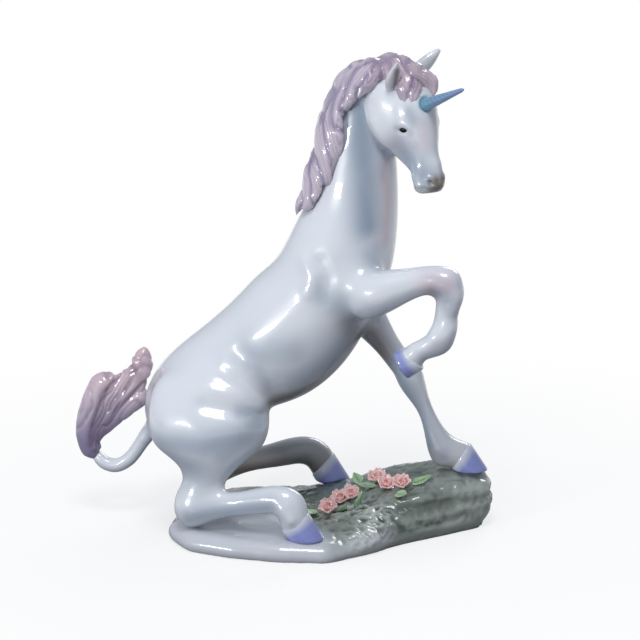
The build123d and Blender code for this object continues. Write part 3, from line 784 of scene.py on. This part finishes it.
# %% [markdown]
# The ears are small, firm forms that the solids already have right. A fine copy rounds their
# edges as glaze does. The near ear, which shows its opening, is airbrushed warm inside, and
# the far ear is swollen a little to the size that the photograph shows.

# %% Ears
SMALL_VOXEL = 0.4 * MM
EAR_OPENING = ((397, 71), (396, 79), (394, 87))
EAR_SWELL = {"right_ear": 0.0, "left_ear": 0.5 * MM}
for ear in ("right_ear", "left_ear"):
    clay = Clay(fine_copy([ear], SMALL_VOXEL))
    clay.soften(rounds=6, hollow=0.5, full=0.3)
    clay.co += clay.normals() * EAR_SWELL[ear]
    if ear == "right_ear":
        opening = line_on(clay.tree(), EAR_OPENING)
        clay.spray_tint_and_shade("umber", opening, radius=1.5, strength=0.8)
        clay.spray_tint_and_shade("rose", opening, radius=2.4, strength=0.6)
    add_piece(f"porcelain_{ear}", clay.finish(), WHITE, "white_glaze", ear)

# %% [markdown]
# The hooves are the painted ends of the legs. Each fine copy is swollen a hair's breadth, so
# that its colour lies over the leg, deepens towards the ground and fades to white within a few
# millimetres of the leg's own skin.

# %% Hooves
HOOF_SWELL = 0.12 * MM
HOOF_DEEPENING = 0.4
FEATHER_MM = (2.0, 5.5)
for hoof in hoof_nodes:
    clay = Clay(fine_copy([hoof], SMALL_VOXEL))
    clay.soften(rounds=36, hollow=0.4, full=0.4)
    clay.co += clay.normals() * HOOF_SWELL
    low, high = (Vector(corner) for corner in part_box(hoof))
    clay.shade("groove", HOOF_DEEPENING * (high.z - clay.co[:, 2]) / (high.z - low.z))
    leg_end = tree_of([hoof.replace("hoof", "shank")])
    gap = np.array([leg_end.find_nearest(Vector(p))[3] for p in clay.co]) / MM
    clay.shade("feather", (FEATHER_MM[1] - gap) / (FEATHER_MM[1] - FEATHER_MM[0]))
    add_piece(f"glazed_{hoof}", clay.finish(), HOOF, "hoof_glaze", hoof)

# %% [markdown]
# The horn is a cone with a fine rope twist. We draw circles of points from root to tip, pinch
# each where the grooves run, and bridge them. The grooves turn a little from circle to circle.

# %% Horn
HORN_LENGTH = 40.5 * MM
HORN_RISE = math.radians(22)
HORN_RINGS = 72
HORN_POINTS = 30
HORN_GROOVES = 3
HORN_TURNS = 4.5
HORN_GROOVE_DEPTH = 0.03
HORN_ROOT_RADIUS = 4.0 * MM
HORN_TIP_RADIUS = 0.9 * MM
HORN_COLLAR = 0.5 * MM
HORN_COLLAR_REACH = 8.0 * MM
HORN_TIP_SLICE = 0.3 * MM
HORN_ROUNDING = 14
HORN_BLUNT = 0.15
HORN_GROOVE_EDGE = 0.6
HORN_GROOVE_SHADE = 0.4
TIP_PAINT_START = 0.25
TIP_PAINT_FADE = 0.65


def bridge_rings(bm, rings):
    """Joins circles of edges, one after another, into a skin, and closes both ends."""
    for before, after in zip(rings[:-1], rings[1:]):
        bmesh.ops.bridge_loops(bm, edges=before + after)
    for ring in (rings[0], rings[-1]):
        bmesh.ops.edgenet_fill(bm, edges=ring)
    bmesh.ops.recalc_face_normals(bm, faces=bm.faces)


def add_ring(bm, points):
    made = bmesh.ops.create_circle(bm, segments=points, radius=1)["verts"]
    edges = list({edge for vert in made for edge in vert.link_edges})
    return made, edges


horn_points = np.array([v.co for v in nodes["horn"].data.vertices])
horn_way = Vector((math.cos(HEAD_TURN), -math.sin(HEAD_TURN), math.tan(HORN_RISE))).normalized()
reach = horn_points @ np.array(horn_way)
horn_tip = Vector(horn_points[reach > reach.max() - HORN_TIP_SLICE].mean(axis=0))
horn_root = horn_tip - horn_way * HORN_LENGTH
horn_frame = horn_way.to_track_quat("Z", "Y").to_matrix()
bm = bmesh.new()
groove_layer = bm.verts.layers.float.new("groove")
tip_layer = bm.verts.layers.float.new("tip")
rings = []
for ring in range(HORN_RINGS):
    share = ring / (HORN_RINGS - 1)
    radius = HORN_ROOT_RADIUS + (HORN_TIP_RADIUS - HORN_ROOT_RADIUS) * share
    radius *= min(1.0, math.sqrt(max(1 - share, 0.0) * HORN_ROUNDING) + HORN_BLUNT)
    radius += HORN_COLLAR * math.exp(-((share * HORN_LENGTH / HORN_COLLAR_REACH) ** 2))
    verts, edges = add_ring(bm, HORN_POINTS)
    for vert in verts:
        angle = math.atan2(vert.co.y, vert.co.x) - 2 * math.pi * HORN_TURNS * share
        wave = 0.5 + 0.5 * math.cos(HORN_GROOVES * angle)
        pinched = radius * (1 - HORN_GROOVE_DEPTH * (1 - wave**HORN_GROOVE_EDGE))
        local = Vector((vert.co.x * pinched, vert.co.y * pinched, HORN_LENGTH * share))
        # Painted shade: a darker blue towards the bottom of each groove.
        vert[groove_layer] = HORN_GROOVE_SHADE * (1 - wave) ** 2
        vert[tip_layer] = min(1.0, max(0.0, (share - TIP_PAINT_START) / TIP_PAINT_FADE))
        vert.co = horn_root + horn_frame @ local
    rings.append(edges)
bridge_rings(bm, rings)
add_piece("glazed_horn", mesh_from(bm, "horn"), HORN, "horn_glaze", "horn")

# %% [markdown]
# Hair: mane, forelock and tail were pressed on as locks, smeared together with a wet brush and
# combed with a needle. Each lock is a row of flattened circles along a smooth line, bridged
# into a skin. The same lines then guide the comb.

# %% Lines and locks
LINE_STEPS = 24
LOCK_POINTS = 32
ROUND_END = 3
LOCK_END = 0.04
LOCK_FULLNESS = 1.3


def smooth_path(points, count):
    """A smooth curve through all the points, by the Catmull-Rom formula."""
    points = [points[0] * 2 - points[1], *points, points[-1] * 2 - points[-2]]
    spans = len(points) - 3
    path = []
    for step in range(count):
        where = step / (count - 1) * spans
        span = min(int(where), spans - 1)
        t = where - span
        a, b, c, d = points[span : span + 4]
        square = 2 * a - 5 * b + 4 * c - d
        cube = 3 * b - a - 3 * c + d
        path.append(0.5 * (2 * b + (c - a) * t + square * t**2 + cube * t**3))
    return path


def add_lock(bm, route, outward, width, thickness, taper):
    """A lock before it is combed: flattened circles along a route. taper gives shares of the width."""
    shares = smooth_path([Vector((share, 0, 0)) for share in taper], len(route))
    rings = []
    for number, place in enumerate(route):
        along = (route[min(number + 1, len(route) - 1)] - route[max(number - 1, 0)]).normalized()
        side = outward[number].cross(along).normalized()
        face = along.cross(side)
        from_end = min(number, len(route) - 1 - number) / ROUND_END
        share = shares[number].x * math.sqrt(min(1.0, from_end + LOCK_END))
        half_width = width * MM / 2 * share
        half_thickness = thickness * MM / 2 * min(1.0, LOCK_FULLNESS * share)
        verts, edges = add_ring(bm, LOCK_POINTS)
        for vert in verts:
            vert.co = place + side * (vert.co.x * half_width) + face * (vert.co.y * half_thickness)
        rings.append(edges)
    bridge_rings(bm, rings)


print("locks have", LINE_STEPS, "circles of", LOCK_POINTS, "points")

# %% [markdown]
# The mane falls from the crest of the neck and the forelock from between the ears. Each lock
# starts at its solid's root and runs along a line of pixels, sunk a little into the skin. One
# more lock covers the top of the head, and a roll along the crest fills the mane's root.
# Widths, thicknesses and sinks are in millimetres.

# %% Mane and forelock
MANE_TAPER = (0.3, 0.85, 1.0, 0.95, 0.65, 0.10)
MANE_WIDTHS = (12.5, 15.0, 16.0, 17.0, 17.0, 15.0, 13.0, 11.0)
MANE_THICKNESS = 6.5
MANE_SINK = 2.6
FORELOCK_TAPER = (0.5, 0.9, 1.0, 0.85, 0.55, 0.12)
FORELOCK_WIDTHS = (13.0, 13.0, 14.0)
FORELOCK_THICKNESS = 5.0
FORELOCK_SINK = 1.0
ROOT_LEAN = Vector((0, 0.6, 0.4))
CAP_PIXELS = ((385, 57), (388, 64), (389, 72), (388, 81))
CAP_TAPER = (0.7, 1.0, 1.0, 0.9, 0.5)
CREST_FACING = Vector((-0.4, 0.9, 0.3))
CREST_WIDTH = 15.0
CREST_THICKNESS = 9.0
CREST_TAPER = (0.8, 1.0, 1.0, 0.9, 0.7, 0.3)
mane_pixels = (
    ((391, 58), (383, 68), (376, 80), (371, 90), (368, 98)),
    ((380, 56), (366, 69), (355, 84), (349, 96), (345, 106)),
    ((364, 61), (349, 77), (341, 93), (337, 108), (336, 122)),
    ((345, 74), (333, 95), (328, 114), (332, 138), (336, 173)),
    ((333, 93), (321, 115), (318, 137), (323, 163), (327, 197)),
    ((322, 115), (311, 137), (309, 158), (315, 177), (319, 201)),
    ((312, 140), (305, 163), (301, 182), (297, 200), (293, 220)),
    ((309, 160), (305, 176), (306, 190), (306, 202), (302, 215)),
)
forelock_pixels = (
    ((391, 62), (399, 74), (404, 86), (405, 98), (406, 111)),
    ((401, 64), (409, 75), (413, 86), (413, 97), (412, 107)),
    ((410, 68), (419, 75), (427, 82), (431, 90), (430, 100)),
)
mane_nodes = [f"mane_lock_{n}" for n in range(1, len(mane_pixels) + 1)]
forelock_nodes = [f"forelock_{n}" for n in range(1, len(forelock_pixels) + 1)]
bm = bmesh.new()
for mesh in (body.mesh, head.mesh, *(nodes[node].data for node in mane_nodes + forelock_nodes)):
    bm.from_mesh(mesh)
bed = BVHTree.FromBMesh(bm)
bm.free()


def lay_lock(bm, root, lean, pixels, width, thickness, sink, taper):
    """A lock from its root along a line of pixels on the head and neck; gives its middle line."""
    places = seen_on(bed, pixels)
    route = smooth_path([root] + [place - out * (sink * MM) for place, out in places], LINE_STEPS)
    outward = smooth_path([places[0][1] + lean] + [out for _, out in places], LINE_STEPS)
    add_lock(bm, route, outward, width, thickness, taper)
    return route


def root_of(node):
    return max((v.co for v in nodes[node].data.vertices), key=lambda p: p.y).copy()


bm = bmesh.new()
hair_lines = []
roots = [root_of(node) for node in mane_nodes]
for root, pixels, width in zip(roots, mane_pixels, MANE_WIDTHS):
    shape = (width, MANE_THICKNESS, MANE_SINK, MANE_TAPER)
    hair_lines.append(lay_lock(bm, root, ROOT_LEAN, pixels, *shape))
for node, pixels, width in zip(forelock_nodes, forelock_pixels, FORELOCK_WIDTHS):
    shape = (width, FORELOCK_THICKNESS, FORELOCK_SINK, FORELOCK_TAPER)
    hair_lines.append(lay_lock(bm, root_of(node), ROOT_LEAN, pixels, *shape))
shape = (FORELOCK_WIDTHS[0], FORELOCK_THICKNESS, FORELOCK_SINK, CAP_TAPER)
hair_lines.append(lay_lock(bm, roots[0], Vector(), CAP_PIXELS, *shape))
crest = smooth_path(roots[:-1], LINE_STEPS)
add_lock(bm, crest, [CREST_FACING] * LINE_STEPS, CREST_WIDTH, CREST_THICKNESS, CREST_TAPER)
print(len(hair_lines), "locks laid on the head and neck")

# %% [markdown]
# The locks become one skin, softened until only their swell is left. The comb then scratches strands
# along each lock and leaves a deeper parting between two of them. Violet is painted into the grooves and
# partings as shade. The crest is smoothed again, as a wet brush would leave it.

# %% Combing the mane
HAIR_VOXEL = 0.6 * MM
CAP = ((380, 57), (395, 64), (408, 72), (422, 80))
FORELOCK_ENDS = ((399, 88), (402, 97), (405, 104))
hair = Clay(even_skin(bm, HAIR_VOXEL))
hair.soften(rounds=40, hollow=0.8, full=0.08)
hair_skin = hair.tree()
hair.comb(hair_lines, pitch=1.9, depth=0.6, parting_width=1.4, parting_depth=0.9)
hair.soften(rounds=2, hollow=0.3, full=0.3)
hair.soften(rounds=110, hollow=0.8, full=0.12, where=hair.around(crest, reach=8))
hair.spray_tint_and_shade("rose", line_on(hair_skin, CAP), radius=11.0, strength=0.7)
hair.spray_tint_and_shade("groove", line_on(hair_skin, FORELOCK_ENDS), radius=4.0, strength=0.4)
add_piece("combed_mane", hair.finish(), MANE, "mane_glaze", *mane_nodes, *forelock_nodes)

# %% [markdown]
# The tail's tuft stands free of the rump, so its lines are dropped on an upright plane and not
# on the skin. Its three locks are as thick as their solids, and a thinner web closes the
# saddle between them. They are then made one skin and combed on both faces. Violet darkens
# the root, which is the low end, and rose warms the tips. Each row below holds a lock's line,
# the shares of its width along that line, and its width in millimetres.

# %% Tail
tail_locks = (
    (
        "tail_lock_outer",
        ((98, 459), (91, 446), (89, 428), (94, 408), (102, 390), (111, 372)),
        (0.55, 0.80, 0.95, 1.0, 1.05, 0.95),
        15.0,
    ),
    (
        "tail_lock_middle",
        ((98, 445), (104, 426), (117, 406), (131, 388), (140, 369), (145, 347)),
        (0.40, 0.65, 0.85, 0.95, 0.95, 0.85),
        13.0,
    ),
    (
        "tail_lock_inner",
        ((100, 440), (109, 424), (121, 411), (134, 400), (147, 391)),
        (0.40, 0.65, 0.85, 0.95, 0.85),
        12.0,
    ),
)
WEB_PIXELS = ((102, 424), (109, 404), (118, 389), (126, 380), (133, 372))
WEB_TAPER = (0.5, 0.9, 1.0, 1.0, 0.9)
WEB_WIDTH = 11.0
WEB_THICKNESS = 6.0
TAIL_FACING = [Vector((0, -1, 0))] * LINE_STEPS
VIOLET = 0.85
VIOLET_TOP = 0.62
VIOLET_FADE = 0.45
ROSE = 0.8
ROSE_FOOT = 0.45
ROSE_FADE = 0.4


def upright_line(pixels, y):
    """A smooth line under pixels, in the upright plane at y."""
    rays = [line_of_sight(*pixel) for pixel in pixels]
    return smooth_path([EYE + ray * ((y - EYE.y) / ray.y) for ray in rays], LINE_STEPS)


bm = bmesh.new()
tail_lines = []
for node, pixels, taper, width in tail_locks:
    low, high = (Vector(corner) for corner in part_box(node))
    plane_y = (low.y + high.y) / 2
    tail_lines.append(upright_line(pixels, plane_y))
    add_lock(bm, tail_lines[-1], TAIL_FACING, width, (high.y - low.y) / MM, taper)
tail_lines.append(upright_line(WEB_PIXELS, plane_y))
add_lock(bm, tail_lines[-1], TAIL_FACING, WEB_WIDTH, WEB_THICKNESS, WEB_TAPER)
tail = Clay(even_skin(bm, HAIR_VOXEL))
tail.soften(rounds=24, hollow=0.8, full=0.08)
tail.comb(tail_lines, pitch=2.7, depth=0.9, parting_width=1.6, parting_depth=1.0)
tail.soften(rounds=2, hollow=0.3, full=0.3)
tail_low, tail_high = tail.co.min(axis=0), tail.co.max(axis=0)
height = (tail.co[:, 2] - tail_low[2]) / (tail_high[2] - tail_low[2])
tail.shade("violet", VIOLET * np.clip((VIOLET_TOP - height) / VIOLET_FADE, 0, 1))
tail.shade("rose", np.clip((height - ROSE_FOOT) / ROSE_FADE, 0, ROSE))
add_piece("combed_tail", tail.finish(), TAIL, "tail_glaze", *(node for node, *_ in tail_locks))

# %% [markdown]
# The base: a smooth slab on the left that swells into a rough rock on the right. Its solid is hollow
# with a vent hole below, and the fine copy keeps both. The slab's rim, the rock's toe and shoulder, and
# a lip over a hollow in its front are pressed first.

# %% Base
ROCK_VOXEL = 1.0 * MM
FOOT_HEIGHT = 0.3 * MM
SLAB_RIM = ((178, 527), (196, 539), (235, 546), (280, 551), (322, 553))
ROCK_TOE = ((342, 551), (358, 547), (374, 543))
ROCK_SHOULDER = ((484, 482), (484, 494))
ROCK_HOLLOW = ((402, 508), (425, 507), (450, 502))
ROCK_LIP = ((398, 500), (425, 496), (455, 489))
base_lines = (
    (SLAB_RIM, 7.0, 3.0),
    (ROCK_TOE, 7.0, 2.2),
    (ROCK_SHOULDER, 10.0, 2.6),
    (ROCK_HOLLOW, 5.0, -2.4),
    (ROCK_LIP, 5.0, 1.6),
)
base = Clay(fine_copy(["rock_base"], ROCK_VOXEL))
foot = base.co[:, 2] < FOOT_HEIGHT
base.soften(rounds=120, hollow=0.4, full=0.4)
press_lines(base, base_lines)
base.co[foot, 2] = 0.0
base.co[:, 2] = np.maximum(base.co[:, 2], 0.0)
print("base:", len(base.co), "points,", foot.sum(), "on the foot")

# %% [markdown]
# Layered noise roughens only the rock: broad lumps, flat ledges on its sides, and fine sharp grit,
# strongest in an icy patch in front. The boundary to the slab runs aslant. The same noise places the
# colours: moss on top, painted shade in the recesses, and pale painted highlights on the crests. The
# noise settings are roughness, lacunarity and octaves, and for grit also offset and gain.

# %% Rock
ROCK_EDGE = (-0.012, -0.035)
ROCK_EDGE_SLOPE = 0.9
ROCK_EDGE_FADE = 0.024
RELIEF_FOOT = 0.003
RELIEF_FADE = 0.004
SIDE_SLOPE = 2.0
SIDE_BIAS = 1.2
TOP_SLOPE = 2.2
TOP_BIAS = -0.9
LUMP_MM = 20.0
LUMP_NOISE = (0.9, 2.1, 3)
LUMP_HEIGHT = 1.4
STRATUM_MM = Vector((26.0, 26.0, 5.0))
LEDGE_HEIGHT = 1.5
GRIT_MM = 4.0
GRIT_NOISE = (1.0, 2.0, 2, 0.9, 2.0)
GRIT_HEIGHT = 0.16
ICE_GRIT_HEIGHT = 0.24
ICE = ((340, 512), (352, 505), (372, 512), (378, 530), (362, 540))


def stratum(place):
    return noise.noise(Vector(a / b for a, b in zip(place, STRATUM_MM)))


out = base.normals()
x, y, z = base.co.T
edge_x, edge_y = ROCK_EDGE
rock = np.clip((x - edge_x + ROCK_EDGE_SLOPE * (y - edge_y)) / ROCK_EDGE_FADE, 0, 1)
above_foot = np.clip((z - RELIEF_FOOT) / RELIEF_FADE, 0, 1)
outside = above_foot * np.clip(out[:, 2] * SIDE_SLOPE + SIDE_BIAS, 0, 1)
upward = np.clip(out[:, 2] * TOP_SLOPE + TOP_BIAS, 0, 1)
in_mm = base.co / MM
lump = np.array([noise.fractal(Vector(p) / LUMP_MM, *LUMP_NOISE) for p in in_mm])
ledge = np.array([stratum(p) for p in in_mm]) * (1 - upward)
grit = np.array([noise.ridged_multi_fractal(Vector(p) / GRIT_MM, *GRIT_NOISE) for p in in_mm])
grit = (grit - grit.mean()) / grit.std()
icy = base.around(line_on(base.tree(), ICE), reach=9)
relief = LUMP_HEIGHT * lump + LEDGE_HEIGHT * ledge + (GRIT_HEIGHT + ICE_GRIT_HEIGHT * icy) * grit
relief *= rock * outside
base.co += out * (relief * MM)[:, None]
print("relief from", round(relief.min(), 2), "to", round(relief.max(), 2), "mm")

# %% Colours of the rock, with painted shade and painted highlights
MOSS = 0.65
MOSS_VARIETY = 0.5
RECESS_SHADE = 0.9
ICE_CREST = 0.75
ICE_CREST_BASE = 0.6
ICE_CREST_GRIT = 0.3
CREST_HIGHLIGHT = 0.35
CREST_HIGHLIGHT_FROM = 0.4
TOP_EDGE = ((440, 480), (462, 478), (482, 486))
FOOT_EDGE = ((446, 523), (466, 518), (480, 512))
PALE_TOE = ((336, 553), (360, 547), (386, 541))
# Painted shade in the hollow under the lip, painted highlights along the top edge and the foot, and the
# slab's pale colour on the rock's toe.
rock_shade_highlight_and_tint = (
    ("recess", ROCK_HOLLOW, 4.0, 0.8),
    ("crest", TOP_EDGE, 9.0, 0.35),
    ("crest", FOOT_EDGE, 3.5, 0.5),
    ("slab", PALE_TOE, 7.0, 0.6),
)
base.shade("slab", 1 - rock)
base.shade("moss", rock * upward * (MOSS + MOSS_VARIETY * lump))
# Painted shade: darker wherever the relief sinks.
base.shade("recess", -RECESS_SHADE * relief)
base_skin = base.tree()
for layer, pixels, radius, strength in rock_shade_highlight_and_tint:
    base.spray_tint_and_shade(layer, line_on(base_skin, pixels), radius, strength)
# Pale on the icy patch, its own colour there with painted highlight on the grit's crests, and painted
# highlight on the high relief of the sides.
ice_crest = ICE_CREST * icy * (ICE_CREST_BASE + ICE_CREST_GRIT * grit)
base.shade("crest", ice_crest + CREST_HIGHLIGHT * (relief - CREST_HIGHLIGHT_FROM) * (1 - upward))
add_piece("glazed_rock", base.finish(), ROCK, "rock_glaze", "rock_base")

# %% [markdown]
# The flowers were rolled and pinched from soft paste, petal by petal. A petal is a small grid,
# narrowed at its root, cupped and ruffled. Two whorls of petals stand about a small bead, and
# each flower leans from the rock towards the front.

# %% Flowers
PETAL_LENGTH = 5.6 * MM
PETAL_BREADTH = PETAL_LENGTH / 2.1
PETAL_THICKNESS = 0.7 * MM
PETAL_GRID = 6
PETAL_ROOT = 0.35
PETAL_SWELL = 0.75
PETAL_SWELL_POWER = 0.8
PETAL_RIM = 0.25
PETAL_RIM_POWER = 6
PETAL_CUP = (0.20, 0.22)
PETAL_RUFFLE = 0.05
RUFFLE_WAVES = 5
RUFFLE_TURN = 3
PETAL_END = 0.999
HEART_RADIUS = 1.0 * MM
HEART_HEIGHT = 1.2 * MM
HEART_PAINT = 0.6
HEART_PAINT_REACH = 3.0 * MM
FLOWER_LEAN = Vector((0.25, -0.75, 0.9))
FLOWER_LIFT = 0.8 * MM
WHORLS = ((5, 1.0, math.radians(22), 0.0), (3, 0.66, math.radians(50), 0.6))


def add_petal(bm, size, tilt, turn):
    made = bmesh.ops.create_grid(bm, x_segments=PETAL_GRID, y_segments=PETAL_GRID, size=0.5)["verts"]
    for vert in made:
        u, v = vert.co.x + 0.5, vert.co.y * 2
        width = PETAL_ROOT + PETAL_SWELL * math.sin(math.pi * min(u, PETAL_END) ** PETAL_SWELL_POWER)
        width *= 1 - PETAL_RIM * u**PETAL_RIM_POWER
        ruffle = PETAL_RUFFLE * math.sin(RUFFLE_WAVES * v + RUFFLE_TURN * turn) * u
        rise = PETAL_CUP[0] * u * u + PETAL_CUP[1] * v * v + ruffle
        vert.co = Vector((u * PETAL_LENGTH, v * width * PETAL_BREADTH, rise * PETAL_LENGTH)) * size
    spin = Matrix.Rotation(turn, 4, "Z") @ Matrix.Rotation(-tilt, 4, "Y")
    bmesh.ops.transform(bm, matrix=spin, verts=made)


def standing_on(node, tree):
    """Where a hand-made piece sits on the rock, and the rock's normal there."""
    low, high = (Vector(corner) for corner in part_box(node))
    return tree.find_nearest((low + high) / 2)[:2]


def add_paste(node, bm, stand, material, slot):
    """Stands a hand-made piece in its place and rounds its edges."""
    bmesh.ops.transform(bm, matrix=stand, verts=bm.verts)
    bmesh.ops.recalc_face_normals(bm, faces=bm.faces)
    piece = add_piece(f"paste_{node}", mesh_from(bm, node), material, slot, node)
    smooth = piece.modifiers.new("rounded", "SUBSURF")
    smooth.levels = smooth.render_levels = 1


rock_tree = base.tree()
for number, node in enumerate(sorted(n for n in nodes if n.startswith("flower"))):
    place, normal = standing_on(node, rock_tree)
    lean = (normal + FLOWER_LEAN).normalized()
    bm = bmesh.new()
    for petals, size, tilt, offset in WHORLS:
        for petal in range(petals):
            add_petal(bm, size, tilt, offset + number + petal * 2 * math.pi / petals)
    bmesh.ops.solidify(bm, geom=bm.faces[:], thickness=PETAL_THICKNESS)
    heart = bmesh.ops.create_icosphere(bm, subdivisions=2, radius=HEART_RADIUS)["verts"]
    bmesh.ops.translate(bm, vec=(0, 0, HEART_HEIGHT), verts=heart)
    groove = bm.verts.layers.float.new("groove")
    for vert in bm.verts:
        vert[groove] = max(0.0, 1 - vert.co.xy.length / HEART_PAINT_REACH) * HEART_PAINT
    turn = lean.to_track_quat("Z", "Y").to_matrix().to_4x4()
    add_paste(node, bm, Matrix.Translation(place + lean * FLOWER_LIFT) @ turn, PETAL, "petal_glaze")

# %% [markdown]
# The leaves are cut from thin paste and laid on the rock. A leaf is a grid too, pointed at both
# ends, folded along its rib, lifted at the tip and scored with veins. Its length lies along
# the longest direction of its solid.

# %% Leaves
LEAF_LENGTH = 10.5 * MM
LEAF_WIDTH = 5.6 * MM
LEAF_THICKNESS = 0.8 * MM
LEAF_LIFT = 0.5 * MM
LEAF_MIDDLE = 0.35
LEAF_START = 0.04
LEAF_SPAN = 0.95
LEAF_BELLY = 0.75
LEAF_BLUNT = 0.9
LEAF_FOLD = 0.10
LEAF_CURL = 0.32
VEIN = 0.25
VEIN_WAVES = 9
VEIN_SLANT = 2.2
VEIN_DEPTH = 0.03
VEIN_PAINT = 0.5
RIB_PAINT = 0.8
RIB_FADE = 3


def add_blade(bm):
    groove = bm.verts.layers.float.new("groove")
    for vert in bmesh.ops.create_grid(bm, x_segments=12, y_segments=6, size=0.5)["verts"]:
        u, v = vert.co.x + 0.5, vert.co.y * 2
        width = math.sin(math.pi * (LEAF_START + LEAF_SPAN * u) ** LEAF_BELLY) ** LEAF_BLUNT
        vein = VEIN * abs(math.sin(VEIN_WAVES * u - VEIN_SLANT * abs(v)))
        vert[groove] = max(0.0, RIB_PAINT - RIB_FADE * abs(v)) + VEIN_PAINT * vein
        rise = LEAF_FOLD * abs(v) * width + LEAF_CURL * u * u - VEIN_DEPTH * vein
        vert.co = ((u - LEAF_MIDDLE) * LEAF_LENGTH, v * width * LEAF_WIDTH / 2, rise * LEAF_LENGTH)
    bmesh.ops.solidify(bm, geom=bm.faces[:], thickness=LEAF_THICKNESS)


for node in sorted(n for n in nodes if n.startswith("leaf")):
    place, normal = standing_on(node, rock_tree)
    points = np.array([v.co for v in nodes[node].data.vertices])
    along = Vector(np.linalg.svd(points - points.mean(axis=0), full_matrices=False)[2][0])
    along = (along - normal * along.dot(normal)).normalized()
    bm = bmesh.new()
    add_blade(bm)
    turn = Matrix((along, normal.cross(along), normal)).transposed().to_4x4()
    add_paste(node, bm, Matrix.Translation(place + normal * LEAF_LIFT) @ turn, LEAF, "leaf_glaze")

# %% [markdown]
# The studio floor is white paper. The camera sees it white, with the figure's soft shadow in
# the middle. Reflections in the glaze see it dark under the figure and white further out, and
# light that bounces finds it grey, so the undersides keep the depth of the photograph.

# %% Floor
FLOOR_SIZE = 6
PAPER_WHITE = linear("#FFFFFF")
PAPER_GREY = linear("#86868A")
SHADOW_SPAN = {"From Min": 0.08, "From Max": 0.40, "To Min": 0.70, "To Max": 1.0}
MIRRORED_SPAN = {"From Min": 0.08, "From Max": 0.60, "To Min": 0.10, "To Max": 1.0}
SMOOTH = {"interpolation_type": "SMOOTHSTEP"}
bm = bmesh.new()
bmesh.ops.create_grid(bm, x_segments=1, y_segments=1, size=FLOOR_SIZE)
floor_mesh = mesh_from(bm, "studio_floor")
floor = bpy.data.objects.new("studio_floor", floor_mesh)
scene.collection.objects.link(floor)
paper = new_material("studio_paper")
path = add_node(paper, "ShaderNodeLightPath")
place = add_node(paper, "ShaderNodeTexCoord").outputs["Object"]
away = add_node(paper, "ShaderNodeVectorMath", {"operation": "LENGTH"}, {0: place}).outputs["Value"]
shares = []
for ray, span in (("Is Camera Ray", SHADOW_SPAN), ("Is Glossy Ray", MIRRORED_SPAN)):
    fade = add_node(paper, "ShaderNodeMapRange", SMOOTH, {"Value": away, **span}).outputs["Result"]
    both = {0: path.outputs[ray], 1: fade}
    shares.append(add_node(paper, "ShaderNodeMath", {"operation": "MULTIPLY"}, both).outputs["Value"])
white_share = add_node(paper, "ShaderNodeMath", {"operation": "MAXIMUM"}, dict(enumerate(shares)))
tone = add_node(
    paper,
    "ShaderNodeMixRGB",
    inputs={"Fac": path.outputs["Is Camera Ray"], "Color1": PAPER_GREY, "Color2": PAPER_WHITE},
)
matt = add_node(paper, "ShaderNodeBsdfDiffuse", inputs={"Color": tone.outputs["Color"]})
glow = add_node(paper, "ShaderNodeEmission", inputs={"Color": PAPER_WHITE, "Strength": 1.0})
surface = add_node(
    paper,
    "ShaderNodeMixShader",
    inputs={0: white_share.outputs["Value"], 1: matt.outputs["BSDF"], 2: glow.outputs["Emission"]},
)
add_node(paper, "ShaderNodeOutputMaterial", inputs={"Surface": surface.outputs["Shader"]})
floor_mesh.materials.append(paper)
print("floor", 2 * FLOOR_SIZE, "m wide")

# %% [markdown]
# The room around it is cool and dim, and the camera sees it as white too. A strip of light low
# on the left draws the bright lines in the glaze, a square one overhead models the forms, and
# a wide one behind fills the far side.

# %% World and lamps
ROOM_COLOUR = linear("#DCE2EC")
ROOM_STRENGTH = 0.56
world = bpy.data.worlds.new("studio_world")
scene.world = world
world.use_nodes = True
world.node_tree.nodes.clear()
path = add_node(world, "ShaderNodeLightPath")
seen = add_node(
    world,
    "ShaderNodeMath",
    {"operation": "MAXIMUM"},
    {0: path.outputs["Is Camera Ray"], 1: path.outputs["Is Transmission Ray"]},
)
room = add_node(world, "ShaderNodeBackground", inputs={"Color": ROOM_COLOUR, "Strength": ROOM_STRENGTH})
sky = add_node(world, "ShaderNodeBackground", inputs={"Color": PAPER_WHITE, "Strength": 1.0})
mixed = add_node(
    world,
    "ShaderNodeMixShader",
    inputs={0: seen.outputs["Value"], 1: room.outputs["Background"], 2: sky.outputs["Background"]},
)
add_node(world, "ShaderNodeOutputWorld", inputs={"Surface": mixed.outputs["Shader"]})


def add_lamp(name, place, aim, width, depth, watts):
    light = bpy.data.lights.new(name, "AREA")
    light.shape = "RECTANGLE"
    light.size = width
    light.size_y = depth
    light.energy = watts
    lamp = bpy.data.objects.new(name, light)
    place, aim = Vector(place), Vector(aim)
    turn = (place - aim).to_track_quat("Z", "Y").to_matrix().to_4x4()
    lamp.matrix_world = Matrix.Translation(place) @ turn
    scene.collection.objects.link(lamp)
    print(name, watts, "W")


add_lamp("soft_box", (-0.82, -1.12, 0.32), aim=(0, 0, 0.12), width=0.40, depth=0.12, watts=7.0)
add_lamp("overhead", (0.05, -0.55, 1.12), aim=(0, 0, 0.10), width=0.38, depth=0.38, watts=5.0)
add_lamp("far_fill", (0.35, 1.15, 0.75), aim=(0, 0, 0.12), width=0.7, depth=0.5, watts=4.5)
scene.view_settings.view_transform = "Standard"

# %% [markdown]

# %% Finish
print("finished")
